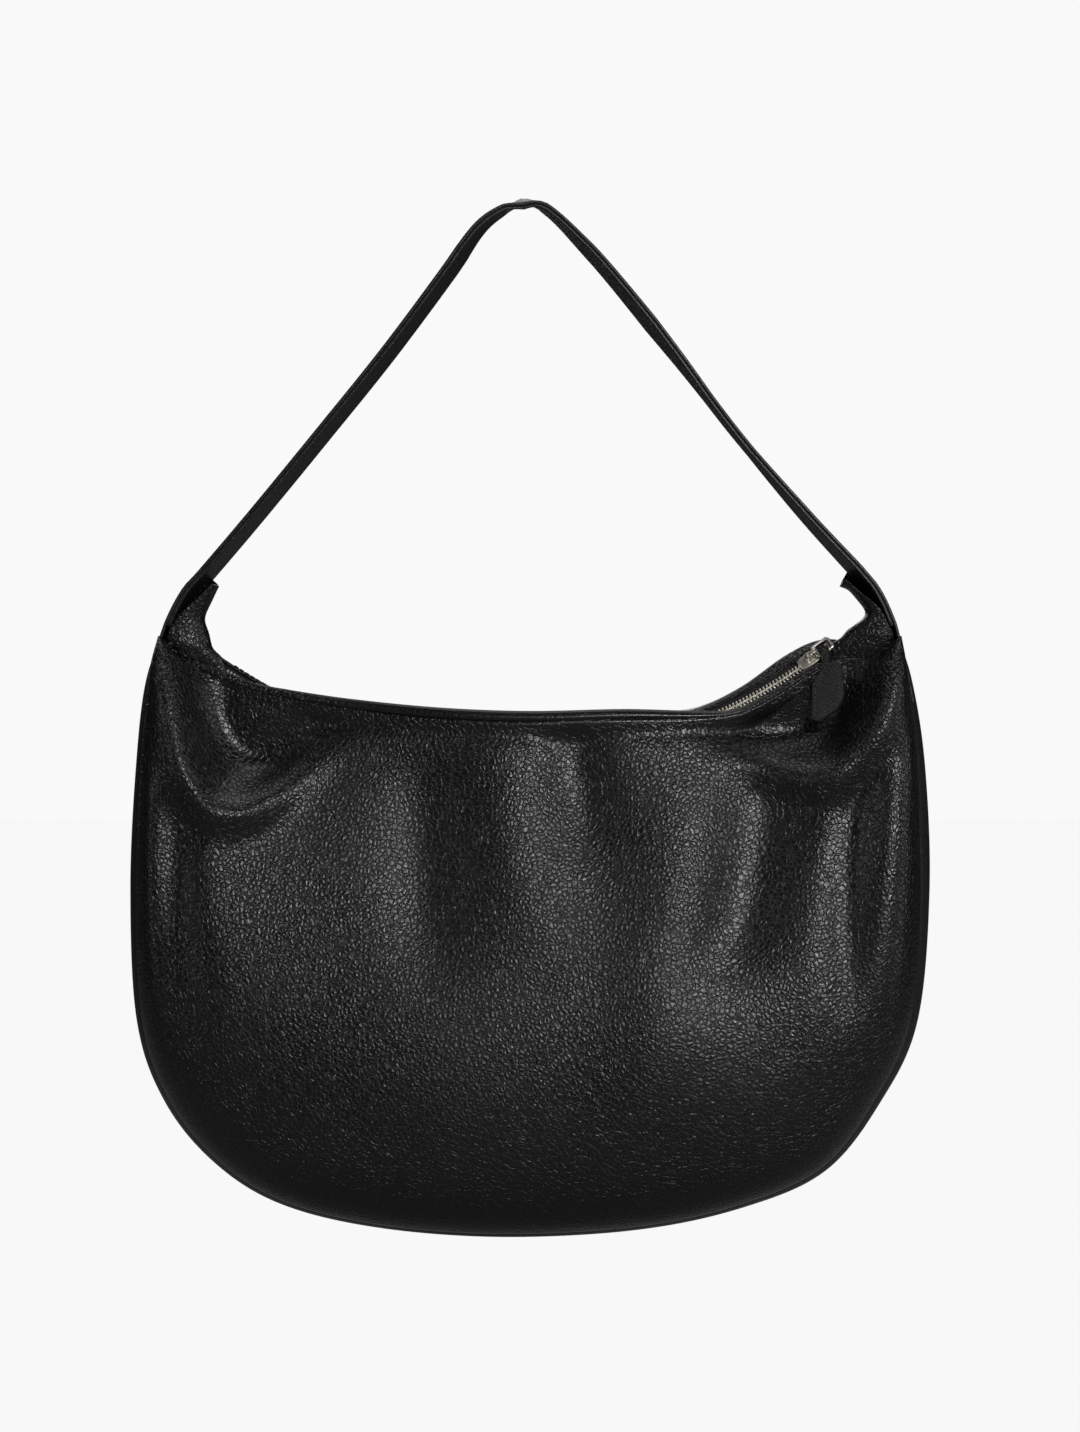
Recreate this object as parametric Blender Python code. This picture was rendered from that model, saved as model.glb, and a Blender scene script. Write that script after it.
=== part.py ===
"""A crescent shoulder bag in pebbled leather: a curved zip across its mouth and one narrow strap.

Metres, +Z up. The origin is on the underside of the strap's top, where the bag hangs. The front faces -Y.
"""

import math

import bmesh
import bpy
from mathutils import Vector

# The strap.
STRAP_WIDTH = 0.025
STRAP_LEATHER = 0.0012
STRAP_CORE = 0.0006
LAYER_GAP = 0.0003
STRAP_THICKNESS = 2 * STRAP_LEATHER + STRAP_CORE + 2 * LAYER_GAP
STRAP_TOP_FLAT = 0.010
STRAP_STATIONS = 44
STRAP_TWIST = math.radians(9)

# The bag's outline, which the gusset band follows, and the shells that are sewn to it.
GUSSET_WIDTH = 0.025
GUSSET_THICKNESS = 0.0014
PANEL_THICKNESS = 0.0013
LINING_THICKNESS = 0.0008
SEAM_GAP = 0.0004
PANEL_SEAM_Y = (GUSSET_WIDTH + PANEL_THICKNESS) / 2 + SEAM_GAP
LINING_INSET = 0.0024
LINING_MARGIN = 0.03
PANEL_BULGE = 0.040
BULGE_SCALE = 2.94
CREST_Y = 0.018
CREST_END_Y = 0.0075
SEAM_STANDOFF = 0.0035
FACING_STANDOFF = 0.0030
FACING_LAP = 0.0016
FACING_SEAM_DROP = 0.007
FACING_LEAVE = 0.0050

# The zip runs on an arc in the plane between the panels.
ZIP_CENTRE = Vector((-0.0107, 0.0, -0.0233))
ZIP_RADIUS = 0.2648
ZIP_LEFT = math.radians(-35.2)
ZIP_RIGHT = math.radians(39.3)
ZIP_TILT = math.radians(62)
TAPE_INNER_Y = 0.0012
TAPE_OUTER_Y = 0.0051
TAPE_THICKNESS = 0.0006
HEM_Y = 0.0047
TOOTH_PITCH = 0.004
TOOTH_ROOT_Y = 0.0027
TOOTH_TIP_Y = 0.0009
TOOTH_HEIGHT = 0.0022
TOOTH_GAP = 0.0003

# The slider and its pull.
SLIDER_AT = math.radians(36.3)
SLIDER_LENGTH = 0.0125
SLIDER_WIDTH = 0.0078
SLIDER_PLATE = 0.0011
BRIDGE_HEIGHT = 0.0043
BRIDGE_START = -0.0010
BRIDGE_END = 0.0058
WIRE = 0.0008
LINK_START = 0.0040
LINK_LENGTH = 0.0100
LINK_WIDTH = 0.0066
TAB_LENGTH = 0.0285
TAB_NECK = 0.0050
TAB_SHOULDER = 0.0140
TAB_FOOT = 0.0185
TAB_LEATHER = 0.0011
TAB_HANG = math.radians(38)
TAB_SKEW = math.radians(19)

STRAP_PATH = [
    (-0.1872, -0.2180), (-0.1780, -0.2020), (-0.1685, -0.1914), (-0.1420, -0.1602), (-0.1079, -0.1186),
    (-0.0744, -0.0770), (-0.0434, -0.0354), (-0.0270, -0.0120), (-0.0150, -0.0005),
    (-STRAP_TOP_FLAT / 2, STRAP_THICKNESS / 2), (STRAP_TOP_FLAT / 2, STRAP_THICKNESS / 2),
    (0.0140, -0.0030), (0.0237, -0.0146), (0.0419, -0.0354), (0.0756, -0.0770), (0.1076, -0.1186),
    (0.1430, -0.1602), (0.1716, -0.1914), (0.1800, -0.2020), (0.1876, -0.2180),
]

OUTLINE = [
    (-0.1914, -0.2215), (-0.1985, -0.2450), (-0.2040, -0.2900), (-0.2070, -0.3550), (-0.2036, -0.4230),
    (-0.1893, -0.4644), (-0.1640, -0.4957), (-0.1300, -0.5172), (-0.0800, -0.5296), (-0.0150, -0.5346),
    (0.0550, -0.5310), (0.1100, -0.5195), (0.1530, -0.5005), (0.1815, -0.4650), (0.2008, -0.4230),
    (0.2070, -0.3550), (0.2046, -0.2900), (0.1975, -0.2450), (0.1914, -0.2215),
]

# The highest line of each side of the mouth, from the left corner to the right one.
FRONT_CREST = [
    (-0.1800, -0.2375), (-0.1600, -0.2470), (-0.1350, -0.2545), (-0.0940, -0.2592), (-0.0470, -0.2632),
    (0.0000, -0.2649), (0.0500, -0.2636), (0.0850, -0.2636), (0.1080, -0.2615), (0.1280, -0.2520),
    (0.1480, -0.2400), (0.1660, -0.2350), (0.1810, -0.2360),
]
BACK_CREST = [
    (-0.1800, -0.2375), (-0.1600, -0.2455), (-0.1350, -0.2535), (-0.0940, -0.2592), (-0.0470, -0.2632),
    (0.0000, -0.2649), (0.0500, -0.2636), (0.0850, -0.2620), (0.1080, -0.2560), (0.1250, -0.2465),
    (0.1430, -0.2315), (0.1620, -0.2252), (0.1810, -0.2350),
]

LEFT_END_TAB = [
    (-0.1600, -0.2318), (-0.1645, -0.2262), (-0.1675, -0.2200), (-0.1672, -0.2125), (-0.1635, -0.2045),
    (-0.1585, -0.1975),
]
RIGHT_END_TAB = [
    (0.1615, -0.2215), (0.1668, -0.2182), (0.1712, -0.2140), (0.1716, -0.2105), (0.1675, -0.2040),
    (0.1600, -0.1945),
]
END_TAB_WIDTH = 0.017
END_TAB_FOOT = 0.008
END_TAB_THICKNESS = 0.0030


def clear_scene():
    for obj in list(bpy.data.objects):
        bpy.data.objects.remove(obj, do_unlink=True)


def material(name, colour, roughness, metallic=0.0):
    made = bpy.data.materials.new(name)
    made.use_nodes = True
    shader = made.node_tree.nodes["Principled BSDF"]
    shader.inputs["Base Color"].default_value = (*colour, 1.0)
    shader.inputs["Roughness"].default_value = roughness
    shader.inputs["Metallic"].default_value = metallic
    return made


def add(name, mesh, finish, parent=None):
    """An object for a finished bmesh, whose points are given in world space."""
    data = bpy.data.meshes.new(name)
    mesh.to_mesh(data)
    mesh.free()
    data.materials.append(finish)
    obj = bpy.data.objects.new(name, data)
    bpy.context.scene.collection.objects.link(obj)
    if parent is not None:
        obj.parent = parent
        data.transform(parent.matrix_world.inverted())
    return obj


def joint_empty(name, place, turn=None, parent=None):
    """An empty on a joint's axis, which the moving pieces hang from."""
    empty = bpy.data.objects.new(name, None)
    bpy.context.scene.collection.objects.link(empty)
    empty.parent = parent
    local = Vector(place) - (parent.matrix_world.translation if parent else Vector())
    empty.location = local
    if turn is not None:
        empty.rotation_euler = turn
    bpy.context.view_layer.update()
    return empty


def smooth_line(points, steps=12):
    """A curve through points in the XZ plane, as evenly spaced places by distance: f(0..1) -> Vector."""
    knots = [Vector((x, 0.0, z)) for x, z in points]
    ends = [2 * knots[0] - knots[1], *knots, 2 * knots[-1] - knots[-2]]
    dense = []
    for a, b, c, d in zip(ends, ends[1:], ends[2:], ends[3:]):
        for i in range(steps):
            t = i / steps
            square = 2 * a - 5 * b + 4 * c - d
            cube = 3 * b - a - 3 * c + d
            dense.append(0.5 * (2 * b + (c - a) * t + square * t**2 + cube * t**3))
    dense.append(knots[-1])
    run = [0.0]
    for a, b in zip(dense, dense[1:]):
        run.append(run[-1] + (b - a).length)

    def at(share):
        goal = min(max(share, 0.0), 1.0) * run[-1]
        i = 1
        while i < len(run) - 1 and run[i] < goal:
            i += 1
        return dense[i - 1].lerp(dense[i], (goal - run[i - 1]) / (run[i] - run[i - 1]))

    at.length = run[-1]
    return at


def left_of(line, share, step=0.002):
    """The line's normal in the XZ plane, on its left as it runs: out of the strap's loop, into the bag."""
    along = (line(share + step) - line(share - step)).normalized()
    return Vector((-along.z, 0.0, along.x))


def leather_sheet(name, finish, columns, rows, place, thickness, offset=0.0, parent=None):
    """A sheet of even thickness whose middle surface is place(u, v), with u and v from 0 to 1."""
    mesh = bmesh.new()
    bmesh.ops.create_grid(mesh, x_segments=columns, y_segments=rows, size=0.5)
    for vert in mesh.verts:
        vert.co = place(vert.co.x + 0.5, vert.co.y + 0.5)
    obj = add(name, mesh, finish, parent)
    shell = obj.modifiers.new("Thickness", "SOLIDIFY")
    shell.thickness = thickness
    shell.offset = offset
    obj.data.shade_smooth()
    return obj


# Shoulder strap


def strap_layer(name, finish, depth, thickness, line):
    """One layer of the strap, its middle depth below the strap's own middle."""
    clear = 0.008
    even = [i / STRAP_STATIONS for i in range(STRAP_STATIONS + 1)]
    beside = [s for s in even if not TOP_STATIONS[0] - clear < s < TOP_STATIONS[1] + clear]
    stations = sorted(beside + TOP_STATIONS)
    count = len(stations) - 1

    def place(u, v):
        share = stations[round(u * count)]
        if share in TOP_STATIONS:
            normal = Vector((0.0, 0.0, 1.0))
        else:
            normal = left_of(line, share)
        leg = math.sin(2 * math.pi * share) ** 2
        across = Vector((0.0, 1.0, 0.0)) - normal * STRAP_TWIST * leg
        across.normalize()
        face = Vector((0.0, -normal.dot(across), 0.0)) + normal * across.y
        return line(share) - face * depth + across * (v - 0.5) * STRAP_WIDTH

    return leather_sheet(name, finish, count, 2, place, thickness)


# Bag panels


def zip_axes(angle):
    """The zip's own directions here: along it, across it towards the back, and out of its face."""
    along = Vector((math.cos(angle), 0.0, math.sin(angle)))
    down = Vector((math.sin(angle), 0.0, -math.cos(angle)))
    back = Vector((0.0, 1.0, 0.0))
    across = back * math.cos(ZIP_TILT) - down * math.sin(ZIP_TILT)
    return along, across, -down * math.cos(ZIP_TILT) - back * math.sin(ZIP_TILT), down


def arc_point(angle, across=0.0, height=0.0):
    """A point by the zip's middle line: angle from straight down, distance across the tape, height."""
    _, wide, face, down = zip_axes(angle)
    return ZIP_CENTRE + down * ZIP_RADIUS + wide * across + face * height


def crest_y(u):
    """How far the mouth's rolled edge stands from the middle plane."""
    return CREST_END_Y + (CREST_Y - CREST_END_Y) * math.sin(math.pi * u) ** 2.2


def panel_point(crest, u, v, side):
    """A point on a panel: v runs from the gusset seam up to the facing's seam. side is -1 in front."""
    low = OUTLINE_LINE(0.012 + 0.976 * u)
    high = crest(u) - Vector((0.0, 0.0, FACING_SEAM_DROP * math.sin(math.pi * u) ** 0.5))
    spot = low.lerp(high, v)
    fullness = math.sin(math.pi * u) ** 0.55
    swell = BULGE_SCALE * v**0.45 * max(1.0 - v, 0.0) ** 1.6
    seam_y = PANEL_SEAM_Y + (crest_y(u) + SEAM_STANDOFF * fullness - PANEL_SEAM_Y) * v
    spot.y = side * (seam_y + PANEL_BULGE * fullness * swell)
    return spot


def lining_point(crest, u, v, side):
    """The lining hangs inside its panel, a little short of the panel's edges."""
    u = LINING_MARGIN + (1.0 - 2 * LINING_MARGIN) * u
    v = 0.1 + 0.85 * v
    step = 0.01
    along = panel_point(crest, u + step, v, side) - panel_point(crest, u - step, v, side)
    up = panel_point(crest, u, v + step, side) - panel_point(crest, u, v - step, side)
    inward = along.cross(up).normalized()
    if inward.y * side > 0:
        inward.negate()
    return panel_point(crest, u, v, side) + inward * LINING_INSET


def facing_point(crest, u, v, side):
    """The facing rolls from its seam with the panel over the crest and down to the zip."""
    top = crest(u)
    roll = math.sin(math.pi * u) ** 0.5
    outer_y = crest_y(u) + FACING_STANDOFF * math.sin(math.pi * u) ** 0.55
    seam = Vector((top.x, outer_y, top.z - (FACING_SEAM_DROP - FACING_LAP) * roll + 0.0012))
    angle = ZIP_LEFT + (ZIP_RIGHT - ZIP_LEFT) * u
    hem = arc_point(angle, side * HEM_Y, TAPE_THICKNESS / 2 + SEAM_GAP + 0.0009)
    seam.y *= side
    leave = hem + zip_axes(angle)[1] * side * FACING_LEAVE
    peak = Vector((top.x * 0.7 + hem.x * 0.3, side * crest_y(u), max(top.z, hem.z) + 0.0020))
    w = 1 - v
    return seam * w**3 + 3 * peak * w**2 * v + 3 * leave * w * v**2 + hem * v**3


def band_sheet(name, finish, start, end, inset, thickness, width, columns):
    """A flat-laid strip that follows the bag's outline at this inset."""

    def place(u, v):
        share = start + (end - start) * u
        across = Vector((0.0, (v - 0.5) * width, 0.0))
        return OUTLINE_LINE(share) + left_of(OUTLINE_LINE, share) * inset + across

    return leather_sheet(name, finish, columns, 1, place, thickness)


def end_tab(name, finish, points):
    line = smooth_line(points)

    def place(u, v):
        widening = END_TAB_FOOT + (END_TAB_WIDTH - END_TAB_FOOT) * u / 0.4
        width = min(widening, END_TAB_WIDTH * (1.1 - 0.25 * u))
        return line(u) + Vector((0.0, (v - 0.5) * width, 0.0))

    return leather_sheet(name, finish, 10, 1, place, END_TAB_THICKNESS)


# Zip


def tape(name, finish, side):
    def place(u, v):
        angle = ZIP_LEFT + (ZIP_RIGHT - ZIP_LEFT) * u
        return arc_point(angle, side * (TAPE_INNER_Y + (TAPE_OUTER_Y - TAPE_INNER_Y) * v))

    return leather_sheet(name, finish, 32, 1, place, TAPE_THICKNESS)


def teeth(name, finish, side):
    """One side's row of teeth, joined along their roots, which rises over the tape's edge."""
    mesh = bmesh.new()
    first, last = ZIP_LEFT + math.radians(0.6), ZIP_RIGHT - math.radians(1.6)
    count = int((last - first) * ZIP_RADIUS / TOOTH_PITCH)
    shift = 0.0 if side < 0 else 0.5
    low = TAPE_THICKNESS / 2 + TOOTH_GAP
    ring = []
    for i in range(count):
        for part_of_pitch, reach in ((0.0, 0), (0.06, 1), (0.36, 1), (0.42, 0)):
            angle = first + (i + shift + part_of_pitch) * TOOTH_PITCH / ZIP_RADIUS
            ring.append((angle, -TOOTH_TIP_Y if reach else TOOTH_TIP_Y + 0.0002))
    verts = [mesh.verts.new(arc_point(angle, side * y, low)) for angle, y in ring]
    verts += [
        mesh.verts.new(arc_point(angle, side * TOOTH_ROOT_Y, low))
        for angle in (ring[-1][0], *(ring[i][0] for i in range(len(ring) - 4, 0, -4)), ring[0][0])
    ]
    face = mesh.faces.new(verts)
    risen = bmesh.ops.extrude_face_region(mesh, geom=[face])
    for vert in (v for v in risen["geom"] if isinstance(v, bmesh.types.BMVert)):
        away = vert.co - ZIP_CENTRE
        vert.co += zip_axes(math.atan2(away.x, -away.z))[2] * TOOTH_HEIGHT
    bmesh.ops.recalc_face_normals(mesh, faces=mesh.faces)
    return add(name, mesh, finish)


def block_on_arc(name, finish, angle, size, height, y=0.0, parent=None, bevel=0.0003):
    """A small block square to the zip at this angle, its underside at this height over the tape."""
    mesh = bmesh.new()
    bmesh.ops.create_cube(mesh, size=1.0)
    for vert in mesh.verts:
        along = vert.co.x * size[0] / ZIP_RADIUS
        vert.co = arc_point(angle + along, y + vert.co.y * size[1], height + (vert.co.z + 0.5) * size[2])
    bmesh.ops.bevel(
        mesh, geom=mesh.edges[:], offset=bevel, segments=1, profile=0.5, affect="EDGES", material=-1
    )
    bmesh.ops.recalc_face_normals(mesh, faces=mesh.faces)
    return add(name, mesh, finish, parent)


def wire(name, finish, points, radius, parent, closed=False):
    """A round wire through these points."""
    curve = bpy.data.curves.new(name, "CURVE")
    curve.dimensions = "3D"
    curve.bevel_depth = radius
    curve.bevel_resolution = 1
    curve.use_fill_caps = True
    line = curve.splines.new("POLY")
    line.points.add(len(points) - 1)
    back = parent.matrix_world.inverted()
    for point, place in zip(line.points, points):
        point.co = (*(back @ place), 1.0)
    line.use_cyclic_u = closed
    curve.materials.append(finish)
    obj = bpy.data.objects.new(name, curve)
    bpy.context.scene.collection.objects.link(obj)
    obj.parent = parent
    return obj


# Assembly

clear_scene()
LEATHER = material("pebbled_leather", (0.012, 0.012, 0.013), 0.42)
EDGE_LEATHER = material("smooth_leather", (0.016, 0.016, 0.017), 0.38)
CLOTH = material("lining_cloth", (0.030, 0.028, 0.026), 0.85)
WEBBING = material("reinforcing_tape", (0.10, 0.10, 0.10), 0.9)
TAPE = material("zip_tape", (0.010, 0.010, 0.011), 0.8)
METAL = material("zip_metal", (0.62, 0.58, 0.52), 0.28, 1.0)

STRAP_LINE = smooth_line(STRAP_PATH)
OUTLINE_LINE = smooth_line(OUTLINE)
FRONT_LINE = smooth_line(FRONT_CREST)
BACK_LINE = smooth_line(BACK_CREST)


def top_stations(line):
    """Where the strap's line passes the two ends of its flat top."""
    found = []
    for x in (-STRAP_TOP_FLAT / 2, STRAP_TOP_FLAT / 2):
        low, high = 0.3, 0.7
        for _ in range(40):
            middle = (low + high) / 2
            low, high = (middle, high) if line(middle).x < x else (low, middle)
        found.append(low)
    return found


TOP_STATIONS = top_stations(STRAP_LINE)
layer_step = (STRAP_LEATHER + STRAP_CORE) / 2 + LAYER_GAP
strap_layer("strap_outer", LEATHER, -layer_step, STRAP_LEATHER, STRAP_LINE)
strap_layer("strap_core", WEBBING, 0.0, STRAP_CORE, STRAP_LINE)
strap_layer("strap_underside", LEATHER, layer_step, STRAP_LEATHER, STRAP_LINE)

for side, name, crest in ((-1, "front", FRONT_LINE), (1, "back", BACK_LINE)):
    leather_sheet(
        f"{name}_panel", LEATHER, 30, 10,
        lambda u, v: panel_point(crest, u, v, side), PANEL_THICKNESS,
    )
    leather_sheet(
        f"{name}_lining", CLOTH, 22, 8,
        lambda u, v: lining_point(crest, u, v, side), LINING_THICKNESS,
    )
    leather_sheet(
        f"{name}_facing", EDGE_LEATHER, 30, 5,
        lambda u, v: facing_point(crest, u, v, side), PANEL_THICKNESS - 0.0002,
    )
    tape(f"zip_tape_{name}", TAPE, side)
    teeth(f"zip_teeth_{name}", METAL, side)

band_sheet("gusset_band", LEATHER, 0.0, 1.0, 0.0, GUSSET_THICKNESS, GUSSET_WIDTH, 48)
inner = (GUSSET_THICKNESS + LINING_THICKNESS) / 2 + SEAM_GAP
band_sheet("gusset_lining", CLOTH, 3 / 48, 45 / 48, inner, LINING_THICKNESS, GUSSET_WIDTH - 0.001, 42)
band_sheet("strap_anchor_left", WEBBING, 0.008, 0.040, inner, LINING_THICKNESS, GUSSET_WIDTH - 0.004, 3)
band_sheet("strap_anchor_right", WEBBING, 0.960, 0.992, inner, LINING_THICKNESS, GUSSET_WIDTH - 0.004, 3)
end_tab("end_tab_left", EDGE_LEATHER, LEFT_END_TAB)
end_tab("end_tab_right", EDGE_LEATHER, RIGHT_END_TAB)

stop_height = TAPE_THICKNESS / 2 + TOOTH_GAP
left_stop_at = ZIP_LEFT + math.radians(0.15)
right_stop_at = ZIP_RIGHT - math.radians(0.5)
block_on_arc("zip_stop_left", METAL, left_stop_at, (0.0016, 0.0050, TOOTH_HEIGHT), stop_height)
block_on_arc("zip_stop_right", METAL, right_stop_at, (0.0022, 0.0050, TOOTH_HEIGHT), stop_height)

slider = joint_empty("slider_axis", ZIP_CENTRE)
plate_height = stop_height + TOOTH_HEIGHT + TOOTH_GAP
plate_size = (SLIDER_LENGTH, SLIDER_WIDTH, SLIDER_PLATE)
base_height = -TAPE_THICKNESS / 2 - TOOTH_GAP - SLIDER_PLATE
block_on_arc("slider_top", METAL, SLIDER_AT, plate_size, plate_height, parent=slider)
block_on_arc("slider_base", METAL, SLIDER_AT, plate_size, base_height, parent=slider)
bridge_foot = plate_height + SLIDER_PLATE + TOOTH_GAP


def slider_point(along, across, height):
    """A point in the slider's own frame, measured from the zip's middle line under the slider."""
    forward, wide, face, _ = zip_axes(SLIDER_AT)
    return arc_point(SLIDER_AT) + forward * along + wide * across + face * height


bridge = [
    slider_point(BRIDGE_START, 0.0, bridge_foot),
    slider_point(BRIDGE_START, 0.0, bridge_foot + BRIDGE_HEIGHT),
    slider_point(BRIDGE_END, 0.0, bridge_foot + BRIDGE_HEIGHT),
    slider_point(BRIDGE_END, 0.0, bridge_foot),
]
wire("slider_bridge", METAL, bridge, WIRE, slider)

# The link lies through the bridge towards the zip's closed end, and the tab hangs on its front arm.
link_height = bridge_foot + BRIDGE_HEIGHT / 2 - WIRE / 2
link_axis = joint_empty("link_axis", slider_point(LINK_START, 0.0, link_height), parent=slider)
link = [
    slider_point(LINK_START + along, across, link_height)
    for along, across in (
        (0.0, 0.0), (0.0, LINK_WIDTH / 2), (LINK_LENGTH, LINK_WIDTH / 2),
        (LINK_LENGTH, -LINK_WIDTH / 2), (0.0, -LINK_WIDTH / 2),
    )
]
wire("pull_link", METAL, link, WIRE, link_axis, closed=True)

tab_middle = LINK_START + LINK_LENGTH / 2
tab_hangs_at = slider_point(tab_middle, -LINK_WIDTH / 2, link_height)
tab_axis = joint_empty("tab_axis", tab_hangs_at, parent=link_axis)
forward, _, _, downward = zip_axes(SLIDER_AT)
tab_down = downward * math.cos(TAB_HANG) - Vector((0.0, 1.0, 0.0)) * math.sin(TAB_HANG)
tab_out = tab_down.cross(forward).normalized()
if tab_out.y > 0:
    tab_out.negate()


def tab_point(u, v, face):
    """A point on one layer of the tab, which passes round the link's arm. face is 1 in front."""
    run = -WIRE - 0.0012 + v * (TAB_LENGTH + WIRE)
    below_neck = max(run - 0.0030, 0.0)
    widen = min(below_neck / 0.0055, 1.0)
    width = TAB_NECK + (TAB_SHOULDER - TAB_NECK) * math.sin(widen * math.pi / 2)
    width += (TAB_FOOT - TAB_SHOULDER) * below_neck / TAB_LENGTH
    to_foot = TAB_LENGTH - 0.0012 - run
    width -= 0.0060 * max(1.0 - to_foot / 0.0035, 0.0) ** 2
    shift = -below_neck * math.tan(TAB_SKEW)
    around_arm = max(1.0 - max(run - 0.0012, 0.0) / 0.0040, 0.0)
    apart = TAB_LEATHER / 2 + 0.00015 + (WIRE + 0.0003 - 0.00015) * min(around_arm, 1.0)
    spot = tab_axis.matrix_world.translation + tab_down * (run + math.tan(TAB_SKEW) * shift * 0.2)
    return spot + forward * (shift + (u - 0.5) * width) + tab_out * apart * face


for face, name in ((1, "pull_tab_front"), (-1, "pull_tab_back")):
    leather_sheet(
        name, EDGE_LEATHER, 4, 14, lambda u, v: tab_point(u, v, face), TAB_LEATHER, parent=tab_axis
    )

bpy.context.view_layer.update()
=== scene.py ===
import math

import bmesh
import bpy
import numpy as np
from mathutils import Matrix, Vector


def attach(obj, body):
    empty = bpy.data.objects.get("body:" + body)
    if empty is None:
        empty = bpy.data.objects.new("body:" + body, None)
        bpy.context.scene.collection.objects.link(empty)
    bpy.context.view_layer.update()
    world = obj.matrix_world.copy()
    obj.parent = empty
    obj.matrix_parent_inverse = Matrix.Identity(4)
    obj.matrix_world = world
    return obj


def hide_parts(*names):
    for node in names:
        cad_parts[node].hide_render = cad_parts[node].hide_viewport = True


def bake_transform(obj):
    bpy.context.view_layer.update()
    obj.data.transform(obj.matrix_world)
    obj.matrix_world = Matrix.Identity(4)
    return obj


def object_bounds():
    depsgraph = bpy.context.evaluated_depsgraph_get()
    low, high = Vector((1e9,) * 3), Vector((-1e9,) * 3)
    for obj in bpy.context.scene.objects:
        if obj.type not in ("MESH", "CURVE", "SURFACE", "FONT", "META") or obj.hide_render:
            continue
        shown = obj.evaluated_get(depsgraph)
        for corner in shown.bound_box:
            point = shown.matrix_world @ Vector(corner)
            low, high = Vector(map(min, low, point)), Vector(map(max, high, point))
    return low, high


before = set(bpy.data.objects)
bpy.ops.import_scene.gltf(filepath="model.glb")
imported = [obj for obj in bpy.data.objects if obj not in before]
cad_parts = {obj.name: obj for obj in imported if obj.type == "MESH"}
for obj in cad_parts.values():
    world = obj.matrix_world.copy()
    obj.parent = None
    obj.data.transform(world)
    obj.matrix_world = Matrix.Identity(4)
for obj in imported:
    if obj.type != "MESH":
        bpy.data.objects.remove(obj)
cad_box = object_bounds()

# The room: a plain pale floor a little below the hanging bag, an even pale wall all round, and a long-lens camera
# square to the front. A small key light stands in front to the right, and softboxes at both sides, overhead and behind.
# Floor and wall are seen bright, but throw only a little light on the bag, so that its black stays deep.

VIEW_CENTRE = Vector((0.0052, 0.0, -0.2647))
VIEW_HEIGHT = 0.7446
CAMERA_AWAY = 2.2
SENSOR = 36.0
FLOOR_BELOW = 0.075
FLOOR_SIZE = 12.0
FLOOR_COLOUR = (0.30, 0.30, 0.30, 1.0)
FLOOR_ROUGHNESS = 0.9
FLOOR_GLOW = 0.985
ROOM_SEEN = 0.95
ROOM_FILL = 0.028

camera_data = bpy.data.cameras.new("camera")
camera_data.lens = SENSOR * CAMERA_AWAY / VIEW_HEIGHT
camera_data.sensor_width = SENSOR
camera = bpy.data.objects.new("camera", camera_data)
camera.location = VIEW_CENTRE - Vector((0.0, CAMERA_AWAY, 0.0))
camera.rotation_euler = (math.pi / 2, 0.0, 0.0)
bpy.context.scene.collection.objects.link(camera)
bpy.context.scene.camera = camera
bpy.context.scene.view_settings.view_transform = "Standard"


def add_node(tree, kind, **settings):
    """A node in this tree, with its settings, and its unlinked sockets given by name."""
    made = tree.nodes.new(kind)
    for key, value in settings.items():
        if key in made.inputs:
            made.inputs[key].default_value = value
        else:
            setattr(made, key, value)
    return made


world = bpy.data.worlds.new("studio")
world.use_nodes = True
room = world.node_tree
room.nodes.clear()
seen = add_node(room, "ShaderNodeBackground", Color=(1.0, 1.0, 1.0, 1.0), Strength=ROOM_SEEN)
fill = add_node(room, "ShaderNodeBackground", Color=(0.95, 0.97, 1.0, 1.0), Strength=ROOM_FILL)
ray = add_node(room, "ShaderNodeLightPath")
either = add_node(room, "ShaderNodeMixShader")
sky = add_node(room, "ShaderNodeOutputWorld")
room.links.new(ray.outputs["Is Camera Ray"], either.inputs[0])
room.links.new(fill.outputs[0], either.inputs[1])
room.links.new(seen.outputs[0], either.inputs[2])
room.links.new(either.outputs[0], sky.inputs["Surface"])
bpy.context.scene.world = world

floor_mesh = bmesh.new()
bmesh.ops.create_grid(floor_mesh, x_segments=1, y_segments=1, size=FLOOR_SIZE)
bmesh.ops.translate(floor_mesh, verts=floor_mesh.verts, vec=(0.0, 0.0, cad_box[0].z - FLOOR_BELOW))
floor_data = bpy.data.meshes.new("floor")
floor_mesh.to_mesh(floor_data)
floor_mesh.free()
floor_paint = bpy.data.materials.new("floor_paint")
floor_paint.use_nodes = True
paint = floor_paint.node_tree
plain = paint.nodes["Principled BSDF"]
plain.inputs["Base Color"].default_value = FLOOR_COLOUR
plain.inputs["Roughness"].default_value = FLOOR_ROUGHNESS
lit = add_node(paint, "ShaderNodeEmission", Strength=ROOM_SEEN)
eye = add_node(paint, "ShaderNodeLightPath")
shown = add_node(paint, "ShaderNodeMixShader")
much = add_node(paint, "ShaderNodeMath", operation="MULTIPLY")
much.inputs[1].default_value = FLOOR_GLOW
paint.links.new(eye.outputs["Is Camera Ray"], much.inputs[0])
paint.links.new(much.outputs[0], shown.inputs[0])
paint.links.new(plain.outputs[0], shown.inputs[1])
paint.links.new(lit.outputs[0], shown.inputs[2])
paint.links.new(shown.outputs[0], paint.nodes["Material Output"].inputs["Surface"])
floor_data.materials.append(floor_paint)
floor = bpy.data.objects.new("floor", floor_data)
bpy.context.scene.collection.objects.link(floor)


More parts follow.
